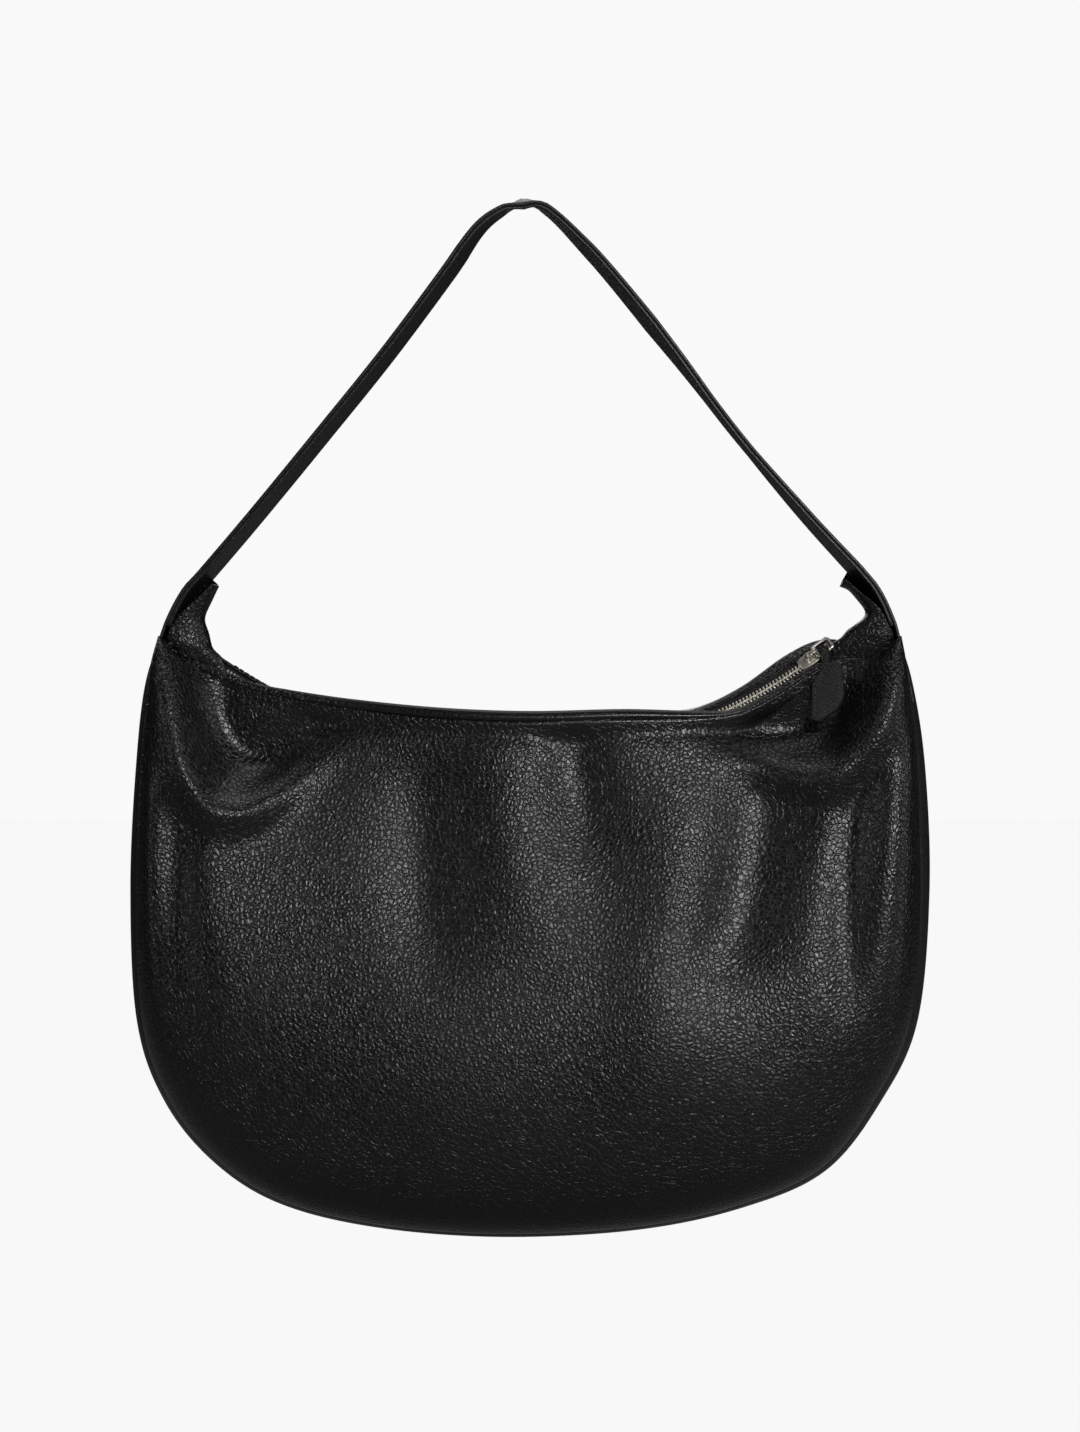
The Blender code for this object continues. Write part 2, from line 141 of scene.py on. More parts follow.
def softbox(name, place, aim, size, power):
    """A rectangle of soft white light, turned towards its aim."""
    data = bpy.data.lights.new(name, "AREA")
    data.shape = "RECTANGLE"
    data.size, data.size_y = size
    data.energy = power
    lamp = bpy.data.objects.new(name, data)
    lamp.location = place
    lamp.visible_camera = False
    lamp.rotation_euler = (Vector(aim) - Vector(place)).to_track_quat("-Z", "Y").to_euler()
    bpy.context.scene.collection.objects.link(lamp)


softbox("key_light", (0.44, -1.25, 0.14), (0.06, 0.0, -0.36), (0.36, 0.30), 8.5)
softbox("left_light", (-1.25, -0.95, 0.15), (-0.05, 0.0, -0.36), (0.4, 0.9), 2.2)
softbox("right_light", (1.35, -0.55, 0.0), (0.05, 0.0, -0.36), (0.35, 0.9), 3.0)
softbox("overhead_light", (0.0, 0.10, 1.10), (0.0, 0.0, -0.30), (1.2, 0.8), 8.0)
softbox("back_light", (-0.3, 1.6, 0.4), (0.0, 0.0, -0.35), (1.2, 0.8), 6.0)

# Front and back panels: two crescents of black pebbled leather, sewn to the gusset round the sides and the bottom.
# They belly out low down, and each end is drawn up to the strap's root in a deep U-shaped fold.

OUTLINE = [
    (-0.1914, -0.2215), (-0.1985, -0.2450), (-0.2040, -0.2900), (-0.2070, -0.3550), (-0.2036, -0.4230),
    (-0.1893, -0.4644), (-0.1640, -0.4957), (-0.1300, -0.5172), (-0.0800, -0.5296), (-0.0150, -0.5346),
    (0.0550, -0.5310), (0.1100, -0.5195), (0.1530, -0.5005), (0.1815, -0.4650), (0.2008, -0.4230),
    (0.2070, -0.3550), (0.2046, -0.2900), (0.1975, -0.2450), (0.1914, -0.2215),
]
FRONT_CREST = [
    (-0.1800, -0.2370), (-0.1620, -0.2430), (-0.1460, -0.2492), (-0.1300, -0.2528), (-0.0940, -0.2585),
    (-0.0470, -0.2632), (0.0000, -0.2649), (0.0500, -0.2636), (0.0850, -0.2636), (0.1080, -0.2615),
    (0.1280, -0.2520), (0.1480, -0.2400), (0.1660, -0.2350), (0.1810, -0.2360),
]
BACK_CREST = [
    (-0.1800, -0.2375), (-0.1600, -0.2455), (-0.1350, -0.2535), (-0.0940, -0.2592), (-0.0470, -0.2632),
    (0.0000, -0.2649), (0.0500, -0.2636), (0.0850, -0.2620), (0.1080, -0.2560), (0.1250, -0.2465),
    (0.1430, -0.2315), (0.1620, -0.2252), (0.1810, -0.2350),
]
PANEL_CUT = (0.99, 0.27)
PANEL_THICKNESS = 0.0013
BULGE = 0.040

# From the bag's middle plane out to the gusset seams and to the mouth's rolled edge, at its middle and at its ends.
SEAM_Y = 0.0134
CREST_Y = 0.018
CREST_END_Y = 0.0075

# Panel and facing meet this far out from the rolled edge and this far below it.
FACING_OUT = 0.0035
FACING_DROP = 0.0022

# How far in from the outline the panels are sewn, by share of the outline from the left root round to the right.
SEAM_INSET_AT = (0.0, 0.04, 0.12, 0.28, 0.42, 0.60, 0.74, 0.88, 0.96, 1.0)
SEAM_INSET = (0.0006, 0.0030, 0.0042, 0.0036, 0.0026, 0.0028, 0.0044, 0.0064, 0.0040, 0.0006)

# Folds as (height, width, line), each line's points with how strong the fold is there.
FRONT_FOLDS = [
    (0.0085, 0.0100, [(-0.1880, -0.222, 0.3), (-0.1842, -0.2512, 0.9), (-0.1806, -0.272, 1.0), (-0.1768, -0.2928, 1.0),
                      (-0.1690, -0.3084, 1.0), (-0.1570, -0.3151, 1.0), (-0.1404, -0.3115, 0.9),
                      (-0.1248, -0.2990, 0.7), (-0.104, -0.2810, 0.45), (-0.083, -0.2746, 0.1)]),
    (-0.0105, 0.0150, [(-0.166, -0.256, 0.7), (-0.153, -0.284, 0.9), (-0.140, -0.289, 1.0), (-0.125, -0.283, 0.8),
                       (-0.105, -0.274, 0.5), (-0.085, -0.271, 0.2)]),
    (-0.0042, 0.0105, [(-0.178, -0.300, 0.5), (-0.181, -0.330, 1.0), (-0.179, -0.380, 0.9), (-0.172, -0.430, 0.3)]),
    (0.0018, 0.0060, [(-0.194, -0.300, 0.4), (-0.1955, -0.360, 0.8), (-0.193, -0.410, 0.4)]),
    (0.0088, 0.0100, [(0.1867, -0.2235, 0.4), (0.1844, -0.2494, 0.9), (0.1776, -0.2707, 1.0), (0.1669, -0.2860, 1.0),
                      (0.1547, -0.2967, 1.0), (0.1347, -0.2952, 0.7), (0.115, -0.289, 0.4), (0.095, -0.281, 0.1)]),
    (-0.0110, 0.0145, [(0.172, -0.245, 0.4), (0.160, -0.262, 0.8), (0.146, -0.272, 1.0), (0.130, -0.273, 0.9),
                       (0.112, -0.270, 0.6), (0.090, -0.269, 0.2)]),
    (-0.0046, 0.0110, [(0.177, -0.282, 0.6), (0.1685, -0.310, 1.0), (0.164, -0.341, 1.0), (0.162, -0.379, 0.8),
                       (0.163, -0.420, 0.3)]),
    (0.0016, 0.0100, [(0.184, -0.290, 0.4), (0.187, -0.320, 0.8), (0.186, -0.360, 0.8), (0.182, -0.410, 0.3)]),
    (-0.0050, 0.0170, [(0.023, -0.268, 1.0), (0.024, -0.300, 1.0), (0.034, -0.335, 0.4)]),
    (-0.0045, 0.0200, [(-0.055, -0.290, 0.6), (-0.055, -0.350, 1.0), (-0.048, -0.395, 0.5)]),
    (-0.0058, 0.0210, [(0.122, -0.290, 0.7), (0.117, -0.330, 1.0), (0.108, -0.370, 1.0), (0.080, -0.402, 0.5)]),
    (0.0032, 0.0220, [(-0.012, -0.280, 0.6), (-0.010, -0.330, 1.0), (0.005, -0.380, 0.7)]),
    (0.0040, 0.0260, [(0.080, -0.290, 0.6), (0.078, -0.345, 1.0), (0.068, -0.430, 1.0), (0.055, -0.455, 0.5)]),
    (-0.0022, 0.0045, [(-0.115, -0.269, 0.3), (-0.094, -0.269, 0.6), (-0.070, -0.2705, 0.8), (-0.030, -0.2735, 1.0),
                       (0.020, -0.2745, 1.0), (0.060, -0.273, 0.8), (0.100, -0.270, 0.6)]),
    (-0.0030, 0.0040, [(0.0775, -0.5240, 1.0), (0.0790, -0.5265, 1.0)]),
]
BACK_FOLDS = [
    (height * 0.85, width * 1.15, [(-x * 0.98, z - 0.004, strength) for x, z, strength in line])
    for height, width, line in FRONT_FOLDS[:10]
]


def smooth_line(points, steps=16, closed=False):
    """A smooth curve through (x, z) points: f(share of its length) gives x and z. f.knots has each point's share."""
    knots = np.array(points, float)
    if closed:
        knots = np.vstack([knots[-1:], knots, knots[:2]])
    else:
        knots = np.vstack([2 * knots[:1] - knots[1:2], knots, 2 * knots[-1:] - knots[-2:-1]])
    step = (np.arange(steps) / steps)[:, None]
    spans = []
    for a, b, c, d in zip(knots, knots[1:], knots[2:], knots[3:]):
        square = 2 * a - 5 * b + 4 * c - d
        cube = 3 * b - a - 3 * c + d
        spans.append(0.5 * (2 * b + (c - a) * step + square * step**2 + cube * step**3))
    dense = np.vstack([*spans, knots[-2:-1]])
    run = np.concatenate([[0.0], np.cumsum(np.hypot(*np.diff(dense, axis=0).T))])

    def at(share):
        share = np.mod(share, 1.0 + 1e-9) if closed else np.clip(share, 0.0, 1.0)
        return np.interp(share * run[-1], run, dense[:, 0]), np.interp(share * run[-1], run, dense[:, 1])

    at.knots = run[::steps] / run[-1]
    at.length = run[-1]
    return at


def left_of(line, share, step=0.0015):
    """The line's normal on its left as it runs, as x and z."""
    after, before = line(share + step), line(share - step)
    run_x, run_z = after[0] - before[0], after[1] - before[1]
    size = np.hypot(run_x, run_z)
    return -run_z / size, run_x / size


def fold_height(x, z, folds):
    """How far the folds lift the leather here: each is a soft stroke drawn along its line."""
    total = np.zeros_like(x)
    for height, width, line in folds:
        path = smooth_line([point[:2] for point in line])
        count = 3 + int(path.length / (0.4 * width))
        shares = (np.arange(count) + 0.5) / count
        strengths = np.interp(shares, path.knots, [point[2] for point in line])
        dab = height * path.length / count / (width * math.sqrt(math.pi))
        for spot_x, spot_z, strength in zip(*path(shares), strengths):
            total += dab * strength * np.exp(-((x - spot_x) ** 2 + (z - spot_z) ** 2) / width**2)
    return total


def crest_y(u):
    """How far the mouth's rolled edge stands from the middle plane."""
    return CREST_END_Y + (CREST_Y - CREST_END_Y) * np.sin(np.pi * u) ** 2.2


def inside_outline(share, sewn=1.0, further=0.0):
    """A place in from the outline, as x and z: by this much of the seam's own inset, and then further."""
    x, z = outline(share)
    in_x, in_z = left_of(outline, share)
    inset = np.interp(share, SEAM_INSET_AT, SEAM_INSET) * sewn + further
    return x + in_x * inset, z + in_z * inset


def seam_share(u):
    """The seams start just clear of the outline's two ends."""
    return 0.002 + 0.996 * u


def panel_place(u, v, side, crest, folds):
    """A panel's surface: v runs from the gusset seam up to the facing. side is -1 in front."""
    u = np.clip(u, 0.0, 1.0)
    low_x, low_z = inside_outline(seam_share(u))
    high_x, high_z = crest(u)
    high_z = high_z - FACING_DROP * np.sin(np.pi * u) ** 0.5
    x = low_x + (high_x - low_x) * v
    z = low_z + (high_z - low_z) * v
    fullness = np.sin(np.pi * u) ** 0.55
    # The swell comes to 1 a fifth of the way up, where the bag is fullest.
    swell = 2.94 * v**0.45 * (1.0 - v) ** 1.6
    top_y = crest_y(u) + FACING_OUT * fullness
    # The folds die out within a twentieth of the width from either seam.
    free = np.clip(v / 0.05, 0.0, 1.0) * np.clip((1.0 - v) / 0.05, 0.0, 1.0)
    y = SEAM_Y + (top_y - SEAM_Y) * v + BULGE * fullness * swell + fold_height(x, z, folds) * free
    return x, side * y, z


def bent_sheet(name, columns, rows, place, flat, finish, thickness=0.0, rim=None, joined=False, grain=None):
    """A sheet cut flat to a length and width, then bent so that its middle follows place(u, v), and thickened."""
    sheet = bmesh.new()
    laid = sheet.loops.layers.uv.new("laid_flat")
    bmesh.ops.create_grid(sheet, x_segments=columns, y_segments=rows, size=0.5, calc_uvs=True)
    for face in sheet.faces:
        for loop in face.loops:
            loop[laid].uv = ((loop.vert.co.x + 0.5) * flat[0], (loop.vert.co.y + 0.5) * flat[1])
    u, v = np.clip(np.array([vert.co[:2] for vert in sheet.verts]) + 0.5, 0.0, 1.0).T
    if grain is not None:
        pebbled = sheet.verts.layers.float.new("grain")
        for vert, amount in zip(sheet.verts, grain(u, v)):
            vert[pebbled] = amount
    for vert, spot in zip(sheet.verts, np.column_stack(place(u, v))):
        vert.co = spot
    if joined:
        bmesh.ops.remove_doubles(sheet, verts=sheet.verts, dist=1e-5)
        bmesh.ops.holes_fill(sheet, edges=sheet.edges, sides=12)
        bmesh.ops.recalc_face_normals(sheet, faces=sheet.faces)
    return finished_piece(name, sheet, finish, thickness, rim)


def finished_piece(name, mesh, finish, thickness=0.0, rim=None):
    """The object for a shaped bmesh, with its material, and a thickness where it is a sheet."""
    data = bpy.data.meshes.new(name)
    mesh.to_mesh(data)
    mesh.free()
    data.materials.append(finish)
    data.shade_smooth()
    made = bpy.data.objects.new(name, data)
    bpy.context.scene.collection.objects.link(made)
    if thickness:
        shell = made.modifiers.new("thickness", "SOLIDIFY")
        shell.thickness = thickness
        shell.offset = 0.0
        if rim is not None:
            data.materials.append(rim)
            shell.material_offset_rim = 1
    return made


def soften_edges(made, width):
    """Rounds a piece's cut edges."""
    rounded = made.modifiers.new("rounded_edges", "BEVEL")
    rounded.width = width
    rounded.segments = 2
    rounded.limit_method = "ANGLE"
    rounded.angle_limit = math.radians(50)


def new_group(name, inputs, outputs):
    """An empty shader node group with these sockets, its input node and its output node."""
    tree = bpy.data.node_groups.new(name, "ShaderNodeTree")
    for socket, kind, value in inputs:
        made = tree.interface.new_socket(name=socket, in_out="INPUT", socket_type=kind)
        if value is not None:
            made.default_value = value
    for socket, kind in outputs:
        tree.interface.new_socket(name=socket, in_out="OUTPUT", socket_type=kind)
    return tree, tree.nodes.new("NodeGroupInput"), tree.nodes.new("NodeGroupOutput")


# Pebbled grain: rounded cells about 2.5 mm across with narrow creases, finer cells inside them, and slow patches.
pebbles, pebble_in, pebble_out = new_group(
    "pebbled_grain",
    [("Vector", "NodeSocketVector", None), ("Cells per metre", "NodeSocketFloat", 400.0)],
    [("Height", "NodeSocketFloat"), ("Crease", "NodeSocketFloat"), ("Patch", "NodeSocketFloat")],
)
sway = add_node(pebbles, "ShaderNodeTexNoise", Scale=240.0, Detail=1.0)
swayed = add_node(pebbles, "ShaderNodeVectorMath", operation="MULTIPLY_ADD")
swayed.inputs[1].default_value = (0.0015, 0.0015, 0.0015)
cells = add_node(pebbles, "ShaderNodeTexVoronoi", feature="DISTANCE_TO_EDGE")
fine_scale = add_node(pebbles, "ShaderNodeMath", operation="MULTIPLY")
fine_scale.inputs[1].default_value = 2.9
fine_cells = add_node(pebbles, "ShaderNodeTexVoronoi", feature="DISTANCE_TO_EDGE")
dome = add_node(pebbles, "ShaderNodeMapRange", interpolation_type="SMOOTHSTEP")
dome.inputs["From Max"].default_value = 0.12
dome.inputs["To Max"].default_value = 0.6
broad_dome = add_node(pebbles, "ShaderNodeMapRange", interpolation_type="SMOOTHERSTEP")
broad_dome.inputs["From Max"].default_value = 0.55
broad_dome.inputs["To Max"].default_value = 0.4
domed = add_node(pebbles, "ShaderNodeMath", operation="ADD")
fine_dome = add_node(pebbles, "ShaderNodeMapRange", interpolation_type="SMOOTHSTEP")
fine_dome.inputs["From Max"].default_value = 0.35
fine_dome.inputs["To Max"].default_value = 0.12
rise = add_node(pebbles, "ShaderNodeMath", operation="ADD")
crease = add_node(pebbles, "ShaderNodeMapRange", interpolation_type="SMOOTHSTEP")
crease.inputs["From Max"].default_value = 0.10
crease.inputs["To Min"].default_value = 1.0
crease.inputs["To Max"].default_value = 0.0
patch = add_node(pebbles, "ShaderNodeTexNoise", Scale=16.0, Detail=3.0)
pebbles.links.new(pebble_in.outputs["Vector"], sway.inputs["Vector"])
pebbles.links.new(pebble_in.outputs["Vector"], patch.inputs["Vector"])
pebbles.links.new(sway.outputs["Color"], swayed.inputs[0])
pebbles.links.new(pebble_in.outputs["Vector"], swayed.inputs[2])
pebbles.links.new(swayed.outputs[0], cells.inputs["Vector"])
pebbles.links.new(swayed.outputs[0], fine_cells.inputs["Vector"])
pebbles.links.new(pebble_in.outputs["Cells per metre"], cells.inputs["Scale"])
pebbles.links.new(pebble_in.outputs["Cells per metre"], fine_scale.inputs[0])
pebbles.links.new(fine_scale.outputs[0], fine_cells.inputs["Scale"])
pebbles.links.new(cells.outputs["Distance"], dome.inputs["Value"])
pebbles.links.new(cells.outputs["Distance"], crease.inputs["Value"])
pebbles.links.new(fine_cells.outputs["Distance"], fine_dome.inputs["Value"])
pebbles.links.new(cells.outputs["Distance"], broad_dome.inputs["Value"])
pebbles.links.new(dome.outputs[0], domed.inputs[0])
pebbles.links.new(broad_dome.outputs[0], domed.inputs[1])
pebbles.links.new(domed.outputs[0], rise.inputs[0])
pebbles.links.new(fine_dome.outputs[0], rise.inputs[1])
pebbles.links.new(rise.outputs[0], pebble_out.inputs["Height"])
pebbles.links.new(crease.outputs[0], pebble_out.inputs["Crease"])
pebbles.links.new(patch.outputs[0], pebble_out.inputs["Patch"])


def new_finish(name):
    """A new material, with its node tree, its shader and its texture coordinates."""
    made = bpy.data.materials.new(name)
    made.use_nodes = True
    tree = made.node_tree
    return made, tree, tree.nodes["Principled BSDF"], add_node(tree, "ShaderNodeTexCoord")


def two_tones(tree, first, second):
    """A mix that runs from the first colour to the second."""
    made = add_node(tree, "ShaderNodeMix", data_type="RGBA")
    made.inputs["A"].default_value = (*first, 1.0)
    made.inputs["B"].default_value = (*second, 1.0)
    return made


def spread(tree, low, high):
    """Turns a value from 0 to 1 into one from low to high."""
    made = add_node(tree, "ShaderNodeMapRange")
    made.inputs["To Min"].default_value = low
    made.inputs["To Max"].default_value = high
    return made


def leather(name, dark, light, smooth, rough, relief, cells_per_metre, graded=False):
    """Grained leather, its creases darkened with painted shade. Where graded, the piece's own attribute says how much
    grain is left.
    """
    made, tree, shader, place = new_finish(name)
    grain = add_node(tree, "ShaderNodeGroup", node_tree=pebbles)
    grain.inputs["Cells per metre"].default_value = cells_per_metre
    # The base colour runs from light on the cell tops to dark in the creases: the dark is painted shade in the creases.
    tint = two_tones(tree, [light] * 3, [dark] * 3)
    sheen = spread(tree, smooth, rough)
    sheen.inputs["From Min"].default_value = 0.3
    sheen.inputs["From Max"].default_value = 0.7
    dusty = add_node(tree, "ShaderNodeMath", operation="MULTIPLY_ADD")
    dusty.inputs[1].default_value = 0.12
    bump = add_node(tree, "ShaderNodeBump", Distance=relief, Strength=1.0)
    tree.links.new(place.outputs["Object"], grain.inputs["Vector"])
    tree.links.new(grain.outputs["Crease"], tint.inputs["Factor"])
    tree.links.new(tint.outputs["Result"], shader.inputs["Base Color"])
    tree.links.new(grain.outputs["Patch"], sheen.inputs["Value"])
    tree.links.new(grain.outputs["Crease"], dusty.inputs[0])
    tree.links.new(sheen.outputs[0], dusty.inputs[2])
    tree.links.new(dusty.outputs[0], shader.inputs["Roughness"])
    if graded:
        left = add_node(tree, "ShaderNodeAttribute", attribute_name="grain")
        kept = add_node(tree, "ShaderNodeMath", operation="MULTIPLY")
        tree.links.new(grain.outputs["Height"], kept.inputs[0])
        tree.links.new(left.outputs["Fac"], kept.inputs[1])
        tree.links.new(kept.outputs[0], bump.inputs["Height"])
    else:
        tree.links.new(grain.outputs["Height"], bump.inputs["Height"])
    tree.links.new(bump.outputs[0], shader.inputs["Normal"])
    return made


# Each leather's dark colour is painted shade, laid in the creases of its grain.
body_leather = leather(
    "pebbled_leather", dark=0.0005, light=0.003, smooth=0.23, rough=0.32, relief=0.00030, cells_per_metre=400.0,
    graded=True,
)
edge_leather = leather(
    "edge_leather", dark=0.003, light=0.007, smooth=0.34, rough=0.45, relief=0.00010, cells_per_metre=900.0
)
outline = smooth_line(OUTLINE)
front_crest = smooth_line(FRONT_CREST)
back_crest = smooth_line(BACK_CREST)


def panel_grain(u, v, side, crest, folds):
    """How much grain is left: the leather is stretched smooth in the deep folds and along the mouth."""
    x, _, z = panel_place(u, v, side, crest, folds)
    hollow = np.clip(-fold_height(x, z, folds) / 0.009, 0.0, 1.0)
    near_mouth = np.clip((v - 0.965) / 0.035, 0.0, 1.0) * np.clip((np.sin(np.pi * u) - 0.5) / 0.3, 0.0, 1.0)
    return 1.0 - 0.45 * hollow - 0.75 * near_mouth * (1.0 - hollow)


for side, name, crest, folds in ((-1, "front", front_crest, FRONT_FOLDS), (1, "back", back_crest, BACK_FOLDS)):
    panel = bent_sheet(
        f"{name}_panel_leather", 260, 110, lambda u, v: panel_place(u, v, side, crest, folds), PANEL_CUT,
        body_leather, PANEL_THICKNESS, edge_leather, grain=lambda u, v: panel_grain(u, v, side, crest, folds),
    )
    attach(panel, "bag")
    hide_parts(f"{name}_panel")

# Seam binding: the panels' turned edge, a thin smooth bead of leather along both edges of the gusset.
# It stands a little proud, so it catches a narrow line of light round the sides of the bag.

BEAD_RADIUS = 0.00075
BEAD_PROUD = 0.0002
BEAD_CUT = (PANEL_CUT[0], 0.005)


def bead_place(u, v, side):
    """A bead along the gusset seam, v going round it."""
    x, z = inside_outline(seam_share(u), further=BEAD_RADIUS * np.cos(2 * np.pi * v) - BEAD_PROUD)
    return x, side * (SEAM_Y + BEAD_RADIUS * np.sin(2 * np.pi * v)), z


for side, name in ((-1, "front"), (1, "back")):
    bead = bent_sheet(
        f"{name}_seam_bead", 260, 10, lambda u, v: bead_place(u, v, side), BEAD_CUT, edge_leather, joined=True
    )
    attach(bead, "bag")

# Facings: strips of smoother leather that roll over the mouth's edge and run down to the zip, one on each side.
# Each is hemmed beside the teeth with a row of fine stitches.

FACING_CUT = (0.36, 0.03)
FACING_THICKNESS = 0.0011

# The zip's middle line is an arc round this centre, between two angles from straight down, and its face tips forwards.
ZIP_CENTRE = np.array((-0.0107, 0.0, -0.0233))
ZIP_RADIUS = 0.2648
ZIP_LEFT = math.radians(-35.2)
ZIP_RIGHT = math.radians(39.3)
ZIP_TILT = math.radians(62)

# The facing's hem, across and over the zip's middle line, and how far from it the leather still lies flat.
HEM_Y = 0.0047
HEM_HEIGHT = 0.0016
HEM_FLAT = 0.0050
SEAM_GAP = 0.0005


def zip_axes(angle):
    """The zip's directions at an angle from straight down: along, across to the back, out of its face, and down."""
    angle = np.asarray(angle, float)[..., None]
    along = np.concatenate([np.cos(angle), 0 * angle, np.sin(angle)], axis=-1)
    down = np.concatenate([np.sin(angle), 0 * angle, -np.cos(angle)], axis=-1)
    back = np.array((0.0, 1.0, 0.0))
    across = back * math.cos(ZIP_TILT) - down * math.sin(ZIP_TILT)
    face = -down * math.cos(ZIP_TILT) - back * math.sin(ZIP_TILT)
    return along, across, face, down


def arc_point(angle, across=0.0, height=0.0):
    """A point by the zip's middle line: how far across the tape, and how high over it."""
    _, wide, face, down = zip_axes(angle)
    across, height = np.asarray(across, float)[..., None], np.asarray(height, float)[..., None]
    return ZIP_CENTRE + down * ZIP_RADIUS + wide * across + face * height


def facing_place(u, v, side, crest):
    """The facing rolls from its seam with the panel over the mouth's edge and down to the zip."""
    top_x, top_z = crest(u)
    bow = np.sin(np.pi * u)
    seam_y = crest_y(u) + FACING_OUT * bow**0.55 + SEAM_GAP
    seam = np.column_stack([top_x, side * seam_y, top_z - FACING_DROP * bow**0.5])
    angle = ZIP_LEFT + (ZIP_RIGHT - ZIP_LEFT) * u
    hem = arc_point(angle, side * HEM_Y, HEM_HEIGHT)
    leave = hem + zip_axes(angle)[1] * side * HEM_FLAT
    peak_x = top_x * 0.7 + hem[:, 0] * 0.3
    # What the curve's handle needs to lift it up to the rolled edge, and the share of it that this soft edge takes.
    over = 0.50 * (top_z - seam[:, 2]) + 0.667 * (top_z - leave[:, 2]) + 0.148 * (top_z - hem[:, 2])
    over = over * (0.66 + 0.2 * (1.0 - bow) - 0.35 * np.clip((u - 0.72) / 0.12, 0.0, 1.0))
    peak = np.column_stack([peak_x, side * crest_y(u), top_z + np.maximum(over, 0.0)])
    v = v[:, None]
    w = 1 - v
    return (seam * w**3 + 3 * peak * w**2 * v + 3 * leave * w * v**2 + hem * v**3).T


def facing_grain(u, v):
    """Pebbled near the mouth's ends, and smooth along its middle."""
    return np.clip(1.0 - np.clip((np.sin(np.pi * u) - 0.45) / 0.25, 0.0, 1.0) * 0.8 - 0.1 * v, 0.1, 1.0)


for side, name, crest in ((-1, "front", front_crest), (1, "back", back_crest)):
    facing = bent_sheet(
        f"{name}_facing_leather", 260, 26, lambda u, v: facing_place(u, v, side, crest), FACING_CUT,
        body_leather, FACING_THICKNESS, edge_leather, grain=facing_grain,
    )
    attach(facing, "bag")
    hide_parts(f"{name}_facing")

# Strap and gusset: one long strip of leather that runs over the top as the strap and on round the bag as its gusset.
# Along the strap a tape and a second leather are glued under it, and the layered edges are cut flush and painted.
# Inside the bag a patch of woven tape anchors each of the strap's roots.

STRAP_WIDTH = 0.025
STRAP_LEATHER = 0.0016
STRAP_TAPE = 0.0004
STRAP_ROUNDING = 0.00045
STAY_WIDTH = STRAP_WIDTH - 0.0016

# The lengths that the leathers are cut to: the strap alone, and the whole strip round strap and bag.
STRAP_LENGTH = 0.64
STRIP_LENGTH = 1.63

# The strap's middle line from its left root over the top to its right one, and how it twists in degrees on its way.
STRAP_PATH = [
    (-0.1872, -0.2180), (-0.1780, -0.2020), (-0.1685, -0.1914), (-0.1420, -0.1602), (-0.1079, -0.1186),
    (-0.0744, -0.0770), (-0.0434, -0.0354), (-0.0270, -0.0120), (-0.0150, -0.0022), (-0.0065, 0.0010),
    (-0.0005, 0.0018), (0.0055, 0.0006), (0.0130, -0.0048), (0.0237, -0.0154), (0.0419, -0.0354), (0.0756, -0.0770),
    (0.1076, -0.1186), (0.1430, -0.1602), (0.1716, -0.1914), (0.1800, -0.2020), (0.1876, -0.2180),
]
TWIST_AT = (0.0, 0.04, 0.42, 0.450, 0.476, 0.495, 0.515, 0.57, 0.656, 0.74, 0.80, 0.86, 0.94, 1.0)
TWIST = (3.0, 9.0, 9.0, 5.0, 0.0, -13.0, 0.0, 6.0, 8.0, 1.0, 0.0, 4.0, 7.0, 3.0)

# Where strap turns into gusset: the share of the strip that it takes.
ROOT_SHARE = 0.012

loop = smooth_line(STRAP_PATH + OUTLINE[-2:0:-1], closed=True)
right_root = loop.knots[len(STRAP_PATH) - 1]


def strip_place(share, v, depth, width):
    """A layer of the strap or gusset, this far out from the middle of the strap's layers."""
    x, z = loop(share)
    out_x, out_z = left_of(loop, share)
    on_strap = np.clip(1.0 - np.clip(share - right_root, 0.0, 1.0) / ROOT_SHARE, 0.0, 1.0)
    on_strap = np.maximum(on_strap, np.clip(1.0 - (1.0 - share) / ROOT_SHARE, 0.0, 1.0))
    turn = np.radians(np.interp(share / right_root, TWIST_AT, TWIST)) * on_strap
    round_bag = np.clip((1.0 - share) / (1.0 - right_root), 0.0, 1.0)
    inset = np.interp(round_bag, SEAM_INSET_AT, SEAM_INSET) * (1.0 - on_strap)
    reach = (v - 0.5) * width
    out = depth * on_strap * np.cos(turn) - reach * np.sin(turn) - inset * (2 * v - 1) ** 2
    y = reach * np.cos(turn) + depth * on_strap * np.sin(turn)
    return x + out_x * out, y, z + out_z * out


# The dark colour of these leathers is painted shade in the creases of their grain.
strap_edge = leather(
    "painted_edge", dark=0.003, light=0.006, smooth=0.28, rough=0.4, relief=0.00003, cells_per_metre=1500.0
)
strap_face = leather(
    "strap_leather", dark=0.002, light=0.009, smooth=0.32, rough=0.46, relief=0.00020, cells_per_metre=560.0
)
layer_step = (STRAP_LEATHER + STRAP_TAPE) / 2
strip = bent_sheet(
    "strap_and_gusset_leather", 460, 8, lambda u, v: strip_place(u, v, layer_step, STRAP_WIDTH),
    (STRIP_LENGTH, STRAP_WIDTH), strap_face, STRAP_LEATHER, strap_edge, joined=True,
)
soften_edges(strip, STRAP_ROUNDING)
under = bent_sheet(
    "strap_under_leather", 200, 6, lambda u, v: strip_place(u * right_root, v, -layer_step, STRAP_WIDTH),
    (STRAP_LENGTH, STRAP_WIDTH), strap_face, STRAP_LEATHER, strap_edge,
)
soften_edges(under, STRAP_ROUNDING)


